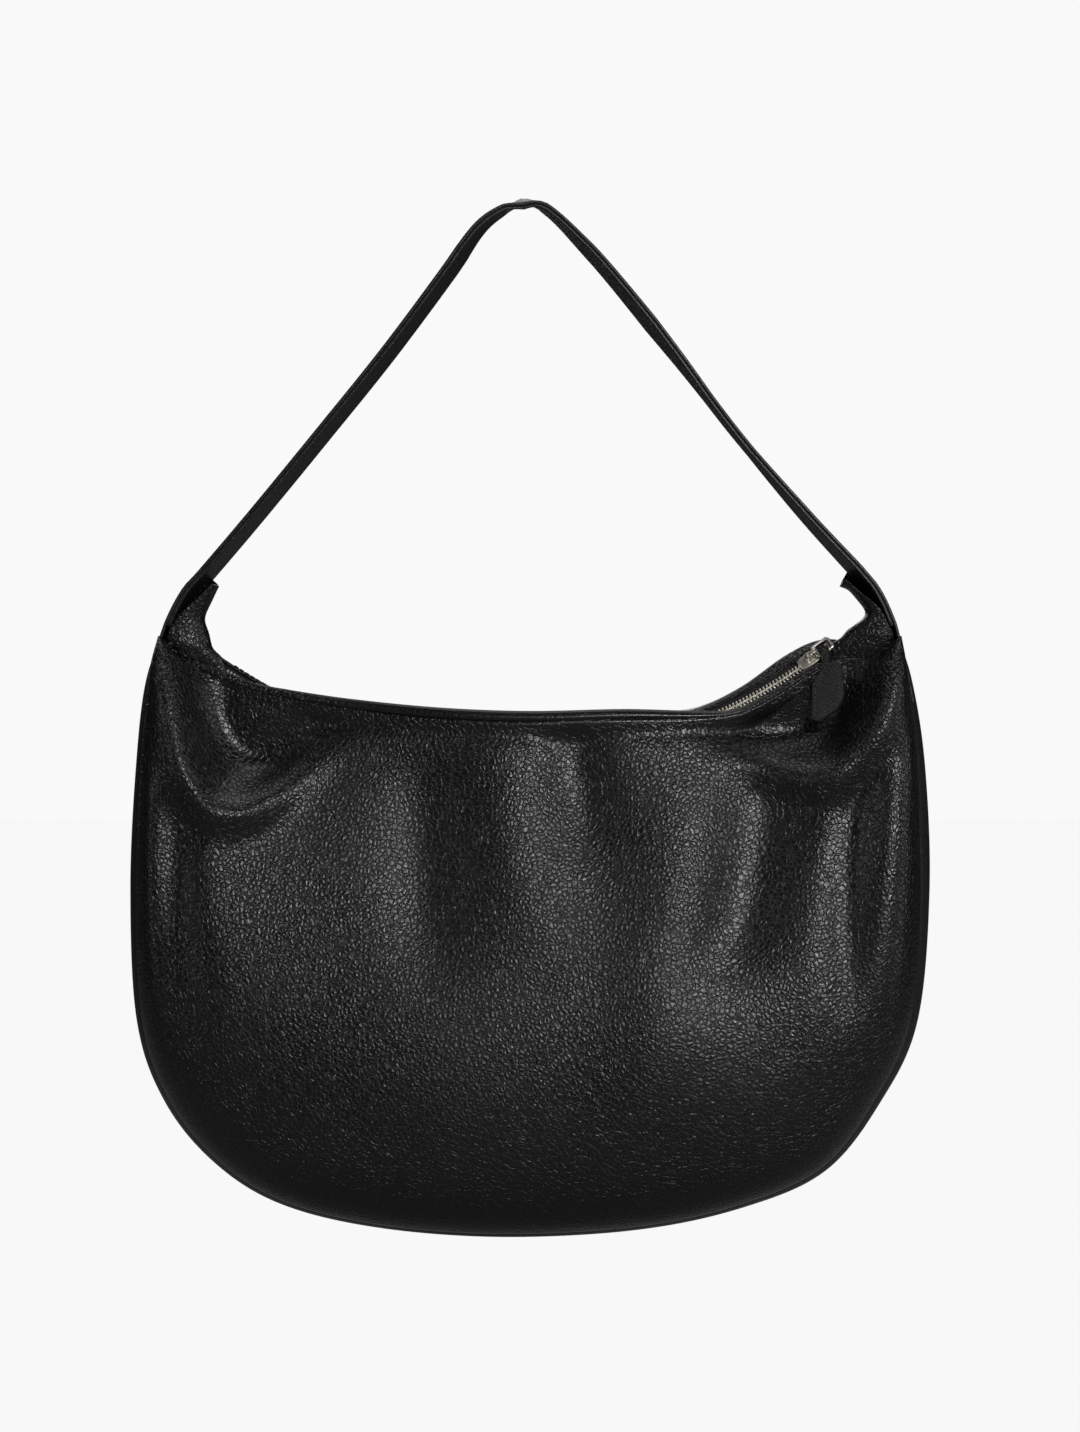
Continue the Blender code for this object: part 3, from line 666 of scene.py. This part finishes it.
def weave_group():
    """Plain weave: two crossing sets of threads, as a height, with a slow noise for slubs in the yarn."""
    tree, entry, leave = new_group(
        "plain_weave",
        [("Vector", "NodeSocketVector", None), ("Threads per metre", "NodeSocketFloat", 1800.0)],
        [("Height", "NodeSocketFloat"), ("Slub", "NodeSocketFloat")],
    )
    split = add_node(tree, "ShaderNodeSeparateXYZ")
    tree.links.new(entry.outputs["Vector"], split.inputs[0])
    waves = []
    for axis in (0, 1):
        turns = add_node(tree, "ShaderNodeMath", operation="MULTIPLY")
        circle = add_node(tree, "ShaderNodeMath", operation="MULTIPLY")
        circle.inputs[1].default_value = math.pi
        wave = add_node(tree, "ShaderNodeMath", operation="SINE")
        tree.links.new(split.outputs[axis], turns.inputs[0])
        tree.links.new(entry.outputs["Threads per metre"], turns.inputs[1])
        tree.links.new(turns.outputs[0], circle.inputs[0])
        tree.links.new(circle.outputs[0], wave.inputs[0])
        waves.append(wave)
    crossed = add_node(tree, "ShaderNodeMath", operation="MULTIPLY")
    tree.links.new(waves[0].outputs[0], crossed.inputs[0])
    tree.links.new(waves[1].outputs[0], crossed.inputs[1])
    level = add_node(tree, "ShaderNodeMath", operation="ABSOLUTE")
    tree.links.new(crossed.outputs[0], level.inputs[0])
    slub = add_node(tree, "ShaderNodeTexNoise", Scale=600.0, Detail=2.0)
    tree.links.new(entry.outputs["Vector"], slub.inputs["Vector"])
    tree.links.new(level.outputs[0], leave.inputs["Height"])
    tree.links.new(slub.outputs[0], leave.inputs["Slub"])
    return tree


plain_weave = weave_group()


def cloth(name, dark, light, rough, threads, laid_flat=True):
    """Woven cloth or tape, its threads laid along the piece's own cut, or along the object's axes."""
    made, tree, shader, place = new_finish(name)
    shader.inputs["Sheen Weight"].default_value = 0.25
    weave = add_node(tree, "ShaderNodeGroup", node_tree=plain_weave)
    weave.inputs["Threads per metre"].default_value = threads
    tint = two_tones(tree, dark, light)
    matt = spread(tree, rough - 0.1, rough + 0.1)
    bump = add_node(tree, "ShaderNodeBump", Distance=0.00015, Strength=0.8)
    tree.links.new(place.outputs["UV" if laid_flat else "Object"], weave.inputs["Vector"])
    tree.links.new(weave.outputs["Height"], tint.inputs["Factor"])
    tree.links.new(tint.outputs["Result"], shader.inputs["Base Color"])
    tree.links.new(weave.outputs["Slub"], matt.inputs["Value"])
    tree.links.new(matt.outputs[0], shader.inputs["Roughness"])
    tree.links.new(weave.outputs["Height"], bump.inputs["Height"])
    tree.links.new(bump.outputs[0], shader.inputs["Normal"])
    return made


stay_tape = cloth("reinforcing_tape", dark=[0.02] * 3, light=[0.06] * 3, rough=0.85, threads=900.0)
core = bent_sheet(
    "strap_stay_tape", 200, 2, lambda u, v: strip_place(u * right_root, v, 0.0, STAY_WIDTH),
    (STRAP_LENGTH, STAY_WIDTH), stay_tape, STRAP_TAPE,
)
for made, node, slot in (
    (strip, ("strap_outer", "gusset_band"), "pebbled_leather"),
    (under, ("strap_underside",), "pebbled_leather"),
    (core, ("strap_core",), "reinforcing_tape"),
):
    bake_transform(made)
    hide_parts(*node)

hidden_tape = cloth(
    "anchor_tape", dark=[0.02] * 3, light=[0.07] * 3, rough=0.85, threads=900.0, laid_flat=False
)
for node in ("strap_anchor_left", "strap_anchor_right"):
    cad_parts[node].data.materials.clear()
    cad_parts[node].data.materials.append(hidden_tape)

# Mouth ends: at each root of the strap the two panels' ends are gathered into one folded ear of pebbled leather.
# It wraps from front to back inside the strap, and its tip stands up as a short horn.

LEFT_EAR_INNER = [
    (-0.1560, -0.2430), (-0.1580, -0.2400), (-0.1607, -0.2345), (-0.1643, -0.2309), (-0.1659, -0.2283),
    (-0.1674, -0.2220), (-0.1695, -0.2137), (-0.1654, -0.2038), (-0.1622, -0.1970),
]
LEFT_EAR_RIM = [
    (-0.1880, -0.2400), (-0.1890, -0.2360), (-0.1892, -0.2310), (-0.1886, -0.2245), (-0.1862, -0.2178),
    (-0.1822, -0.2122), (-0.1762, -0.2068), (-0.1700, -0.2015), (-0.1652, -0.1962),
]
RIGHT_EAR_INNER = [
    (0.1508, -0.2300), (0.1581, -0.2267), (0.1622, -0.2241), (0.1659, -0.2200), (0.1724, -0.2153),
    (0.1747, -0.2122), (0.1742, -0.2088), (0.1706, -0.2041), (0.1660, -0.1990), (0.1612, -0.1968),
]
RIGHT_EAR_RIM = [
    (0.1880, -0.2400), (0.1890, -0.2360), (0.1892, -0.2310), (0.1888, -0.2250), (0.1866, -0.2175),
    (0.1836, -0.2118), (0.1790, -0.2066), (0.1740, -0.2026), (0.1690, -0.1985), (0.1633, -0.1935),
]
EAR_CUT = (0.04, 0.06)
EAR_THICKNESS = 0.0013

# Half the ear's depth low down, what its tip loses, and what its foot loses to tuck in behind the panels.
EAR_HALF = 0.0098
EAR_TAPER = 0.0022
EAR_TUCK = 0.0055

# How far the back half of the horn leans out towards the strap, and how far it rises.
HORN_LEAN = 0.0022
HORN_LIFT = 0.0040


def ear_place(u, v, inner, rim):
    """u runs round the fold from the front rim to the back one, and v up to the horn's tip."""
    turn = (2 * u - 1) * math.pi / 2
    in_x, in_z = inner(v)
    rim_x, rim_z = rim(v)
    half = EAR_HALF - EAR_TAPER * v - EAR_TUCK * np.clip(1.0 - v / 0.3, 0.0, 1.0)
    deep = 1 - np.cos(turn)
    behind = np.clip(2 * u - 1, 0.0, 1.0) * np.clip((v - 0.3) / 0.5, 0.0, 1.0)
    x = in_x + (rim_x - in_x) * deep + np.sign(in_x) * HORN_LEAN * behind
    z = in_z + (rim_z - in_z) * deep + HORN_LIFT * behind
    return x, np.sin(turn) * half, z


for name, inner, rim in (
    ("left", smooth_line(LEFT_EAR_INNER), smooth_line(LEFT_EAR_RIM)),
    ("right", smooth_line(RIGHT_EAR_INNER), smooth_line(RIGHT_EAR_RIM)),
):
    ear = bent_sheet(
        f"{name}_mouth_end", 40, 60, lambda u, v: ear_place(u, v, inner, rim), EAR_CUT,
        body_leather, EAR_THICKNESS, edge_leather, grain=lambda u, v: 0.9 - 0.2 * v,
    )
    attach(ear, "bag")
    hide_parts(f"end_tab_{name}")

# Zip: two woven tapes, each with its own row of 2 mm pressed metal teeth, closed along the whole mouth.
# The tapes' outer edges are sewn under the facings, and a stop is crimped on at each end.

TAPE_THICKNESS = 0.0006
TAPE_INNER_Y = 0.0012
TAPE_OUTER_Y = 0.0053
TAPE_CUT = (0.344, 0.0041)
TOOTH_PITCH = 0.0020
TOOTH_SIZE = (0.00115, 0.0028, 0.0025)
TOOTH_ROUNDING = 0.00028
TOOTH_MIDDLE_Y = 0.00090
FIRST_TOOTH = ZIP_LEFT + math.radians(0.7)
LAST_TOOTH = ZIP_RIGHT - math.radians(1.4)

zip_tape = cloth("zip_tape", dark=[0.004] * 3, light=[0.016] * 3, rough=0.8, threads=2600.0)

# Metal finish: warm nickel, with fine scratches and duller patches.
scuffs, scuff_in, scuff_out = new_group(
    "metal_scuffs",
    [("Vector", "NodeSocketVector", None), ("Scale", "NodeSocketFloat", 900.0)],
    [("Height", "NodeSocketFloat"), ("Dull", "NodeSocketFloat")],
)
scratch = add_node(scuffs, "ShaderNodeTexNoise", Detail=6.0, Roughness=0.7)
dulled = add_node(scuffs, "ShaderNodeTexNoise", Scale=220.0, Detail=2.0)
stretch = add_node(scuffs, "ShaderNodeMapping", Scale=(1.0, 6.0, 1.0))
scuffs.links.new(scuff_in.outputs["Vector"], stretch.inputs["Vector"])
scuffs.links.new(stretch.outputs[0], scratch.inputs["Vector"])
scuffs.links.new(scuff_in.outputs["Scale"], scratch.inputs["Scale"])
scuffs.links.new(scuff_in.outputs["Vector"], dulled.inputs["Vector"])
scuffs.links.new(scratch.outputs[0], scuff_out.inputs["Height"])
scuffs.links.new(dulled.outputs[0], scuff_out.inputs["Dull"])


def metal(name, bright, dull, smooth, rough):
    """Plated metal, duller and rougher in slow patches."""
    made, tree, shader, place = new_finish(name)
    shader.inputs["Metallic"].default_value = 1.0
    wear = add_node(tree, "ShaderNodeGroup", node_tree=scuffs)
    tint = two_tones(tree, bright, dull)
    gloss = spread(tree, smooth, rough)
    bump = add_node(tree, "ShaderNodeBump", Distance=0.00002, Strength=0.5)
    tree.links.new(place.outputs["Object"], wear.inputs["Vector"])
    tree.links.new(wear.outputs["Dull"], tint.inputs["Factor"])
    tree.links.new(tint.outputs["Result"], shader.inputs["Base Color"])
    tree.links.new(wear.outputs["Height"], gloss.inputs["Value"])
    tree.links.new(gloss.outputs[0], shader.inputs["Roughness"])
    tree.links.new(wear.outputs["Height"], bump.inputs["Height"])
    tree.links.new(bump.outputs[0], shader.inputs["Normal"])
    return made


nickel = metal("warm_nickel", bright=(0.88, 0.84, 0.76), dull=(0.60, 0.55, 0.48), smooth=0.22, rough=0.48)


def zip_matrix(angle, across, height):
    """Turns a shape so that its X lies along the zip, its Y across it and its Z out of its face, at this place."""
    along, wide, face, _ = zip_axes(angle)
    turned = Matrix((along, wide, face)).transposed().to_4x4()
    turned.translation = Vector(arc_point(angle, across, height))
    return turned


def block(mesh, matrix, size):
    """A small block, of this length, width and height, put in place by the matrix."""
    return bmesh.ops.create_cube(mesh, size=1.0, matrix=matrix @ Matrix.Diagonal((*size, 1.0)))["verts"]


def round_blocks(mesh, width):
    """Rounds every edge of a mesh of blocks, and turns its faces outwards."""
    bmesh.ops.bevel(mesh, geom=mesh.edges[:], offset=width, segments=1, profile=0.5, affect="EDGES", material=-1)
    bmesh.ops.recalc_face_normals(mesh, faces=mesh.faces)


for side, name in ((-1, "front"), (1, "back")):
    tape = bent_sheet(
        f"{name}_tape_weave", 120, 4,
        lambda u, v: arc_point(
            ZIP_LEFT + (ZIP_RIGHT - ZIP_LEFT) * u, side * (TAPE_INNER_Y + (TAPE_OUTER_Y - TAPE_INNER_Y) * v)
        ).T,
        TAPE_CUT, zip_tape, TAPE_THICKNESS,
    )
    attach(tape, "bag")
    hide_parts(f"zip_tape_{name}")
    row = bmesh.new()
    for number in range(int((LAST_TOOTH - FIRST_TOOTH) * ZIP_RADIUS / TOOTH_PITCH)):
        angle = FIRST_TOOTH + (number + (0.5 if side > 0 else 0.0)) * TOOTH_PITCH / ZIP_RADIUS
        block(row, zip_matrix(angle, side * TOOTH_MIDDLE_Y, TOOTH_SIZE[2] / 2), TOOTH_SIZE)
    round_blocks(row, TOOTH_ROUNDING)
    teeth = finished_piece(f"{name}_teeth_row", row, nickel)
    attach(teeth, "bag")
    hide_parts(f"zip_teeth_{name}")

for node in ("zip_stop_left", "zip_stop_right"):
    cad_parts[node].data.materials.clear()
    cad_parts[node].data.materials.append(nickel)

# Stitches: waxed black thread, sewn in a straight row along each facing's hem beside the zip.
# Each stitch is a short rounded length of thread that lies on the leather, half sunk into it.

STITCH = (0.0026, 0.0006, 0.0005)
STITCH_PITCH = 0.0034
STITCH_IN = 0.0016
STITCH_LIFT = 0.0001
ROW_ENDS = math.radians(1.5)


def thread_finish():
    """Black thread with a dull waxed shine, its strands catching the light."""
    made, tree, shader, place = new_finish("waxed_thread")
    shader.inputs["Sheen Weight"].default_value = 0.2
    strands = add_node(tree, "ShaderNodeTexNoise", Scale=2500.0, Detail=2.0)
    tint = two_tones(tree, [0.006] * 3, [0.035] * 3)
    gloss = spread(tree, 0.35, 0.65)
    bump = add_node(tree, "ShaderNodeBump", Distance=0.00006, Strength=0.8)
    tree.links.new(place.outputs["Object"], strands.inputs["Vector"])
    tree.links.new(strands.outputs[0], tint.inputs["Factor"])
    tree.links.new(tint.outputs["Result"], shader.inputs["Base Color"])
    tree.links.new(strands.outputs[0], gloss.inputs["Value"])
    tree.links.new(gloss.outputs[0], shader.inputs["Roughness"])
    tree.links.new(strands.outputs[0], bump.inputs["Height"])
    tree.links.new(bump.outputs[0], shader.inputs["Normal"])
    return made


thread = thread_finish()


def sew_row(name, matrices, size, body):
    """One stitch at each matrix, with rounded ends, as one piece on this body."""
    row = bmesh.new()
    for matrix in matrices:
        block(row, matrix, size)
    round_blocks(row, min(size) * 0.45)
    made = finished_piece(name, row, thread)
    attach(made, body)


count = int((ZIP_RIGHT - ZIP_LEFT - 2 * ROW_ENDS) * ZIP_RADIUS / STITCH_PITCH)
angles = [ZIP_LEFT + ROW_ENDS + (number + 0.5) * STITCH_PITCH / ZIP_RADIUS for number in range(count)]
on_hem = HEM_HEIGHT + FACING_THICKNESS / 2 + STITCH_LIFT
for side, name in ((-1, "front"), (1, "back")):
    places = [zip_matrix(angle, side * (HEM_Y + STITCH_IN), on_hem) for angle in angles]
    sew_row(f"{name}_hem_stitches", places, STITCH, "bag")

# Slider: two pressed nickel plates that run above and below the teeth, with rails down their sides and a bridge on top.
# The upper plate is waisted, broad where the two rows of teeth part and narrow where they have closed.

SLIDER_AT = math.radians(36.3)
SLIDER_SIZE = (0.0125, 0.0078, 0.0011)
PLATE_HEIGHT = 0.0031
BASE_HEIGHT = -0.0017
PLATE_ROUNDING = 0.00025
RAIL = (SLIDER_SIZE[0] * 0.72, 0.0009, 0.0020)
RAIL_AT = (0.0006, SLIDER_SIZE[1] / 2 - 0.00075)
BRIDGE_FROM, BRIDGE_TO = -0.0010, 0.0058
BRIDGE_HEIGHT = 0.0046
BRIDGE_FOOT = 0.0040
BRIDGE_CUT = (0.015, 0.0021)
BRIDGE_THICKNESS = 0.0009


def slider_place(along, across, height):
    """A point in the slider's own frame, over the zip's middle line under the slider's middle."""
    forward, wide, face, _ = zip_axes(SLIDER_AT)
    along, across, height = (np.asarray(value, float)[..., None] for value in (along, across, height))
    return arc_point(SLIDER_AT) + forward * along + wide * across + face * height


def waisted_plate(name, node, low, rails_up):
    """A slider plate with its side rails."""
    plate = bmesh.new()
    block(plate, Matrix.Identity(4), SLIDER_SIZE)
    bmesh.ops.subdivide_edges(
        plate, edges=[edge for edge in plate.edges if abs(edge.verts[0].co.x - edge.verts[1].co.x) > 0.001], cuts=7
    )
    for vert in plate.verts:
        share = vert.co.x / SLIDER_SIZE[0]
        waist = 0.80 + 0.20 * math.sin(math.pi * min(max(share + 0.42, 0.0), 1.0))
        vert.co.y *= waist - 0.25 * max(abs(share) - 0.38, 0.0)
    for across in (-1, 1):
        middle = Vector((RAIL_AT[0], across * RAIL_AT[1], rails_up * RAIL[2] / 2))
        block(plate, Matrix.Translation(middle), RAIL)
    bmesh.ops.bevel(
        plate, geom=[edge for edge in plate.edges if edge.calc_face_angle(0.0) > 0.6], offset=PLATE_ROUNDING,
        segments=2, profile=0.5, affect="EDGES", material=-1,
    )
    bmesh.ops.transform(plate, matrix=zip_matrix(SLIDER_AT, 0.0, low + SLIDER_SIZE[2] / 2), verts=plate.verts)
    bmesh.ops.recalc_face_normals(plate, faces=plate.faces)
    made = finished_piece(name, plate, nickel)
    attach(made, "slider")
    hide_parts(node)


waisted_plate("slider_upper_plate", "slider_top", PLATE_HEIGHT, -1)
waisted_plate("slider_lower_plate", "slider_base", BASE_HEIGHT, 1)


def bridge_place(u, v):
    """A flat arch over the slider's middle."""
    turn = np.pi * (1 - u)
    mid, half = (BRIDGE_FROM + BRIDGE_TO) / 2, (BRIDGE_TO - BRIDGE_FROM) / 2
    along = mid + half * np.sign(np.cos(turn)) * np.abs(np.cos(turn)) ** 0.45
    rise = BRIDGE_FOOT + BRIDGE_HEIGHT * np.abs(np.sin(turn)) ** 0.45
    return slider_place(along, (v - 0.5) * BRIDGE_CUT[1], rise).T


bridge = bent_sheet("slider_arch", 28, 2, bridge_place, BRIDGE_CUT, nickel, BRIDGE_THICKNESS)
soften_edges(bridge, 0.0002)
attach(bridge, "slider")
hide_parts("slider_bridge")

# Pull: a wire link through the slider's bridge, and a stitched leather tab that hangs on the link's front arm.
# The tab is two layers of leather, waisted round the wire, with a painted edge and a row of stitches inside it.

WIRE = 0.0008
LINK_FROM = 0.0040
LINK_LENGTH = 0.0100
LINK_WIDTH = 0.0066
BRIDGE_ROOM = 0.0043
LINK_HEIGHT = BRIDGE_FOOT + BRIDGE_ROOM / 2 - WIRE / 2
LINK_CUT = (0.03, 0.005)

# The tab's widths at its neck, its shoulder and its foot, and the runs that its neck, shoulder and foot corners take.
TAB_LENGTH = 0.0350
TAB_NECK = 0.0050
TAB_SHOULDER = 0.0180
TAB_FOOT = 0.0225
TAB_NECK_RUN = 0.0080
TAB_SHOULDER_RUN = 0.0050
TAB_CORNER_RUN = 0.0055
TAB_CORNER_CUT = 0.0110

# It wraps over the wire this far, and its two leathers close up again this far below it, with a film of glue between.
TAB_WRAP = 0.0012
TAB_CLOSE_RUN = 0.0040
TAB_GLUE = 0.00005
TAB_WIRE_ROOM = 0.00035

TAB_CUT = (0.016, TAB_LENGTH)
TAB_LEATHER = 0.0011
TAB_ROUNDING = 0.00030
TAB_HANG = math.radians(38)
TAB_SKEW = math.radians(30)
TAB_STITCH = (0.0013, 0.0005, 0.00035)
TAB_STITCH_LIFT = 0.0001


def link_place(u, v):
    """The link's wire: u goes round the link, and v round the wire."""
    turn, wrap = 2 * np.pi * u, 2 * np.pi * v
    along = np.sign(np.cos(turn)) * np.abs(np.cos(turn)) ** 0.35
    across = np.sign(np.sin(turn)) * np.abs(np.sin(turn)) ** 0.35
    out_x, out_y = np.cos(turn), np.sin(turn)
    grown_x = along * LINK_LENGTH / 2 + out_x * WIRE * np.cos(wrap)
    grown_y = across * LINK_WIDTH / 2 + out_y * WIRE * np.cos(wrap)
    return slider_place(LINK_FROM + LINK_LENGTH / 2 + grown_x, grown_y, LINK_HEIGHT + WIRE * np.sin(wrap)).T


link = bent_sheet("pull_link_wire", 72, 10, link_place, LINK_CUT, nickel, joined=True)
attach(link, "pull_link")
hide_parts("pull_link")

forward, _, _, downward = (Vector(axis) for axis in zip_axes(SLIDER_AT))
tab_hook = Vector(slider_place(LINK_FROM + LINK_LENGTH / 2, -LINK_WIDTH / 2, LINK_HEIGHT))
tab_down = downward * math.cos(TAB_HANG) - Vector((0.0, 1.0, 0.0)) * math.sin(TAB_HANG)
tab_out = tab_down.cross(forward).normalized()
if tab_out.y > 0:
    tab_out.negate()


def tab_place(u, v, face, lift=0.0):
    """One layer of the tab: u across it, v from its neck to its foot. face is 1 in front."""
    run = -WIRE - TAB_WRAP + v * (TAB_LENGTH + WIRE)
    below = np.maximum(run - TAB_NECK_RUN, 0.0)
    widen = np.minimum(below / TAB_SHOULDER_RUN, 1.0)
    width = TAB_NECK + (TAB_SHOULDER - TAB_NECK) * np.sin(widen * np.pi / 2)
    width = width + (TAB_FOOT - TAB_SHOULDER) * below / TAB_LENGTH
    width = width - TAB_CORNER_CUT * np.maximum(1.0 - (TAB_LENGTH - TAB_WRAP - run) / TAB_CORNER_RUN, 0.0) ** 2
    shift = -np.maximum(run, 0.0) * math.tan(TAB_SKEW)
    around = np.clip(1.0 - np.maximum(run - TAB_WRAP, 0.0) / TAB_CLOSE_RUN, 0.0, 1.0)
    apart = TAB_LEATHER / 2 + TAB_GLUE + (WIRE + TAB_WIRE_ROOM) * around + lift
    spot = np.array(tab_hook) + np.outer(run, tab_down) + np.outer(shift + (u - 0.5) * width, forward)
    return (spot + np.outer(apart * face, tab_out)).T


# The tab leather's dark colour is painted shade in the creases of its grain.
tab_leather = leather(
    "tab_leather", dark=0.001, light=0.005, smooth=0.30, rough=0.42, relief=0.00018, cells_per_metre=700.0
)
for face, name in ((1, "front"), (-1, "back")):
    layer = bent_sheet(
        f"pull_tab_{name}_leather", 18, 40, lambda u, v: tab_place(u, v, face), TAB_CUT,
        tab_leather, TAB_LEATHER, strap_edge,
    )
    soften_edges(layer, TAB_ROUNDING)
    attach(layer, "pull_tab")
    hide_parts(f"pull_tab_{name}")


def tab_stitch(u, v, next_u, next_v, face):
    """A stitch on the tab from one place to the next."""
    a, b = (
        Vector(tab_place(np.array([i]), np.array([j]), face, TAB_LEATHER / 2 + TAB_STITCH_LIFT)[:, 0])
        for i, j in ((u, v), (next_u, next_v))
    )
    along = (b - a).normalized()
    out = (tab_out * face - along * (tab_out * face).dot(along)).normalized()
    turned = Matrix((along, out.cross(along), out)).transposed().to_4x4()
    turned.translation = (a + b) / 2
    return turned


# The stitches run down the tab's left edge, along its foot and up its right edge, and close across its neck.
rim_walk = [(0.11, v) for v in np.linspace(0.40, 0.90, 9)] + [(u, 0.925) for u in np.linspace(0.2, 0.8, 6)]
rim_walk += [(0.89, v) for v in np.linspace(0.90, 0.40, 9)] + [(0.62, 0.25), (0.38, 0.25)]
for face, name in ((1, "front"), (-1, "back")):
    around = [tab_stitch(*a, *b, face) for a, b in zip(rim_walk, rim_walk[1:] + rim_walk[:1])]
    sew_row(f"pull_tab_{name}_stitches", around, TAB_STITCH, "pull_tab")

# Linings: fine black-brown cotton, cut a little smaller than each panel and hung inside it, and a strip on the gusset.
# They are sewn in with the seams and hold the mouth's tapes and the strap's anchors behind them.

LINING_CUT = (0.93, 0.23)
LINING_THICKNESS = 0.0008
LINING_GAP = 0.0026
GUSSET_LINING_CUT = (0.87, 0.023)
GUSSET_LINING_GAP = 0.0018

lining_cloth = cloth(
    "lining_cloth", dark=(0.012, 0.011, 0.010), light=(0.040, 0.036, 0.032), rough=0.85, threads=1600.0
)


def lining_place(u, v, side, crest, folds):
    """The panel's own surface, a little smaller and moved inwards."""
    u, v, step = 0.03 + 0.94 * u, 0.08 + 0.87 * v, 0.008
    along = np.array(panel_place(u + step, v, side, crest, folds)) - panel_place(u - step, v, side, crest, folds)
    up = np.array(panel_place(u, v + step, side, crest, folds)) - panel_place(u, v - step, side, crest, folds)
    inward = np.cross(along.T, up.T).T
    inward /= np.linalg.norm(inward, axis=0)
    inward *= -np.sign(inward[1] * side)
    return np.array(panel_place(u, v, side, crest, folds)) + inward * LINING_GAP


for side, name, crest, folds in ((-1, "front", front_crest, FRONT_FOLDS), (1, "back", back_crest, BACK_FOLDS)):
    lining = bent_sheet(
        f"{name}_lining_cloth", 110, 50, lambda u, v: lining_place(u, v, side, crest, folds),
        LINING_CUT, lining_cloth, LINING_THICKNESS,
    )
    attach(lining, "bag")
    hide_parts(f"{name}_lining")


def gusset_lining_place(u, v):
    """A strip just inside the gusset."""
    x, z = inside_outline(0.06 + 0.88 * u, (2 * v - 1) ** 2, GUSSET_LINING_GAP)
    return x, (v - 0.5) * GUSSET_LINING_CUT[1], z


strip_lining = bent_sheet(
    "gusset_lining_cloth", 160, 6, gusset_lining_place, GUSSET_LINING_CUT, lining_cloth, LINING_THICKNESS
)
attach(strip_lining, "bag")
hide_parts("gusset_lining")
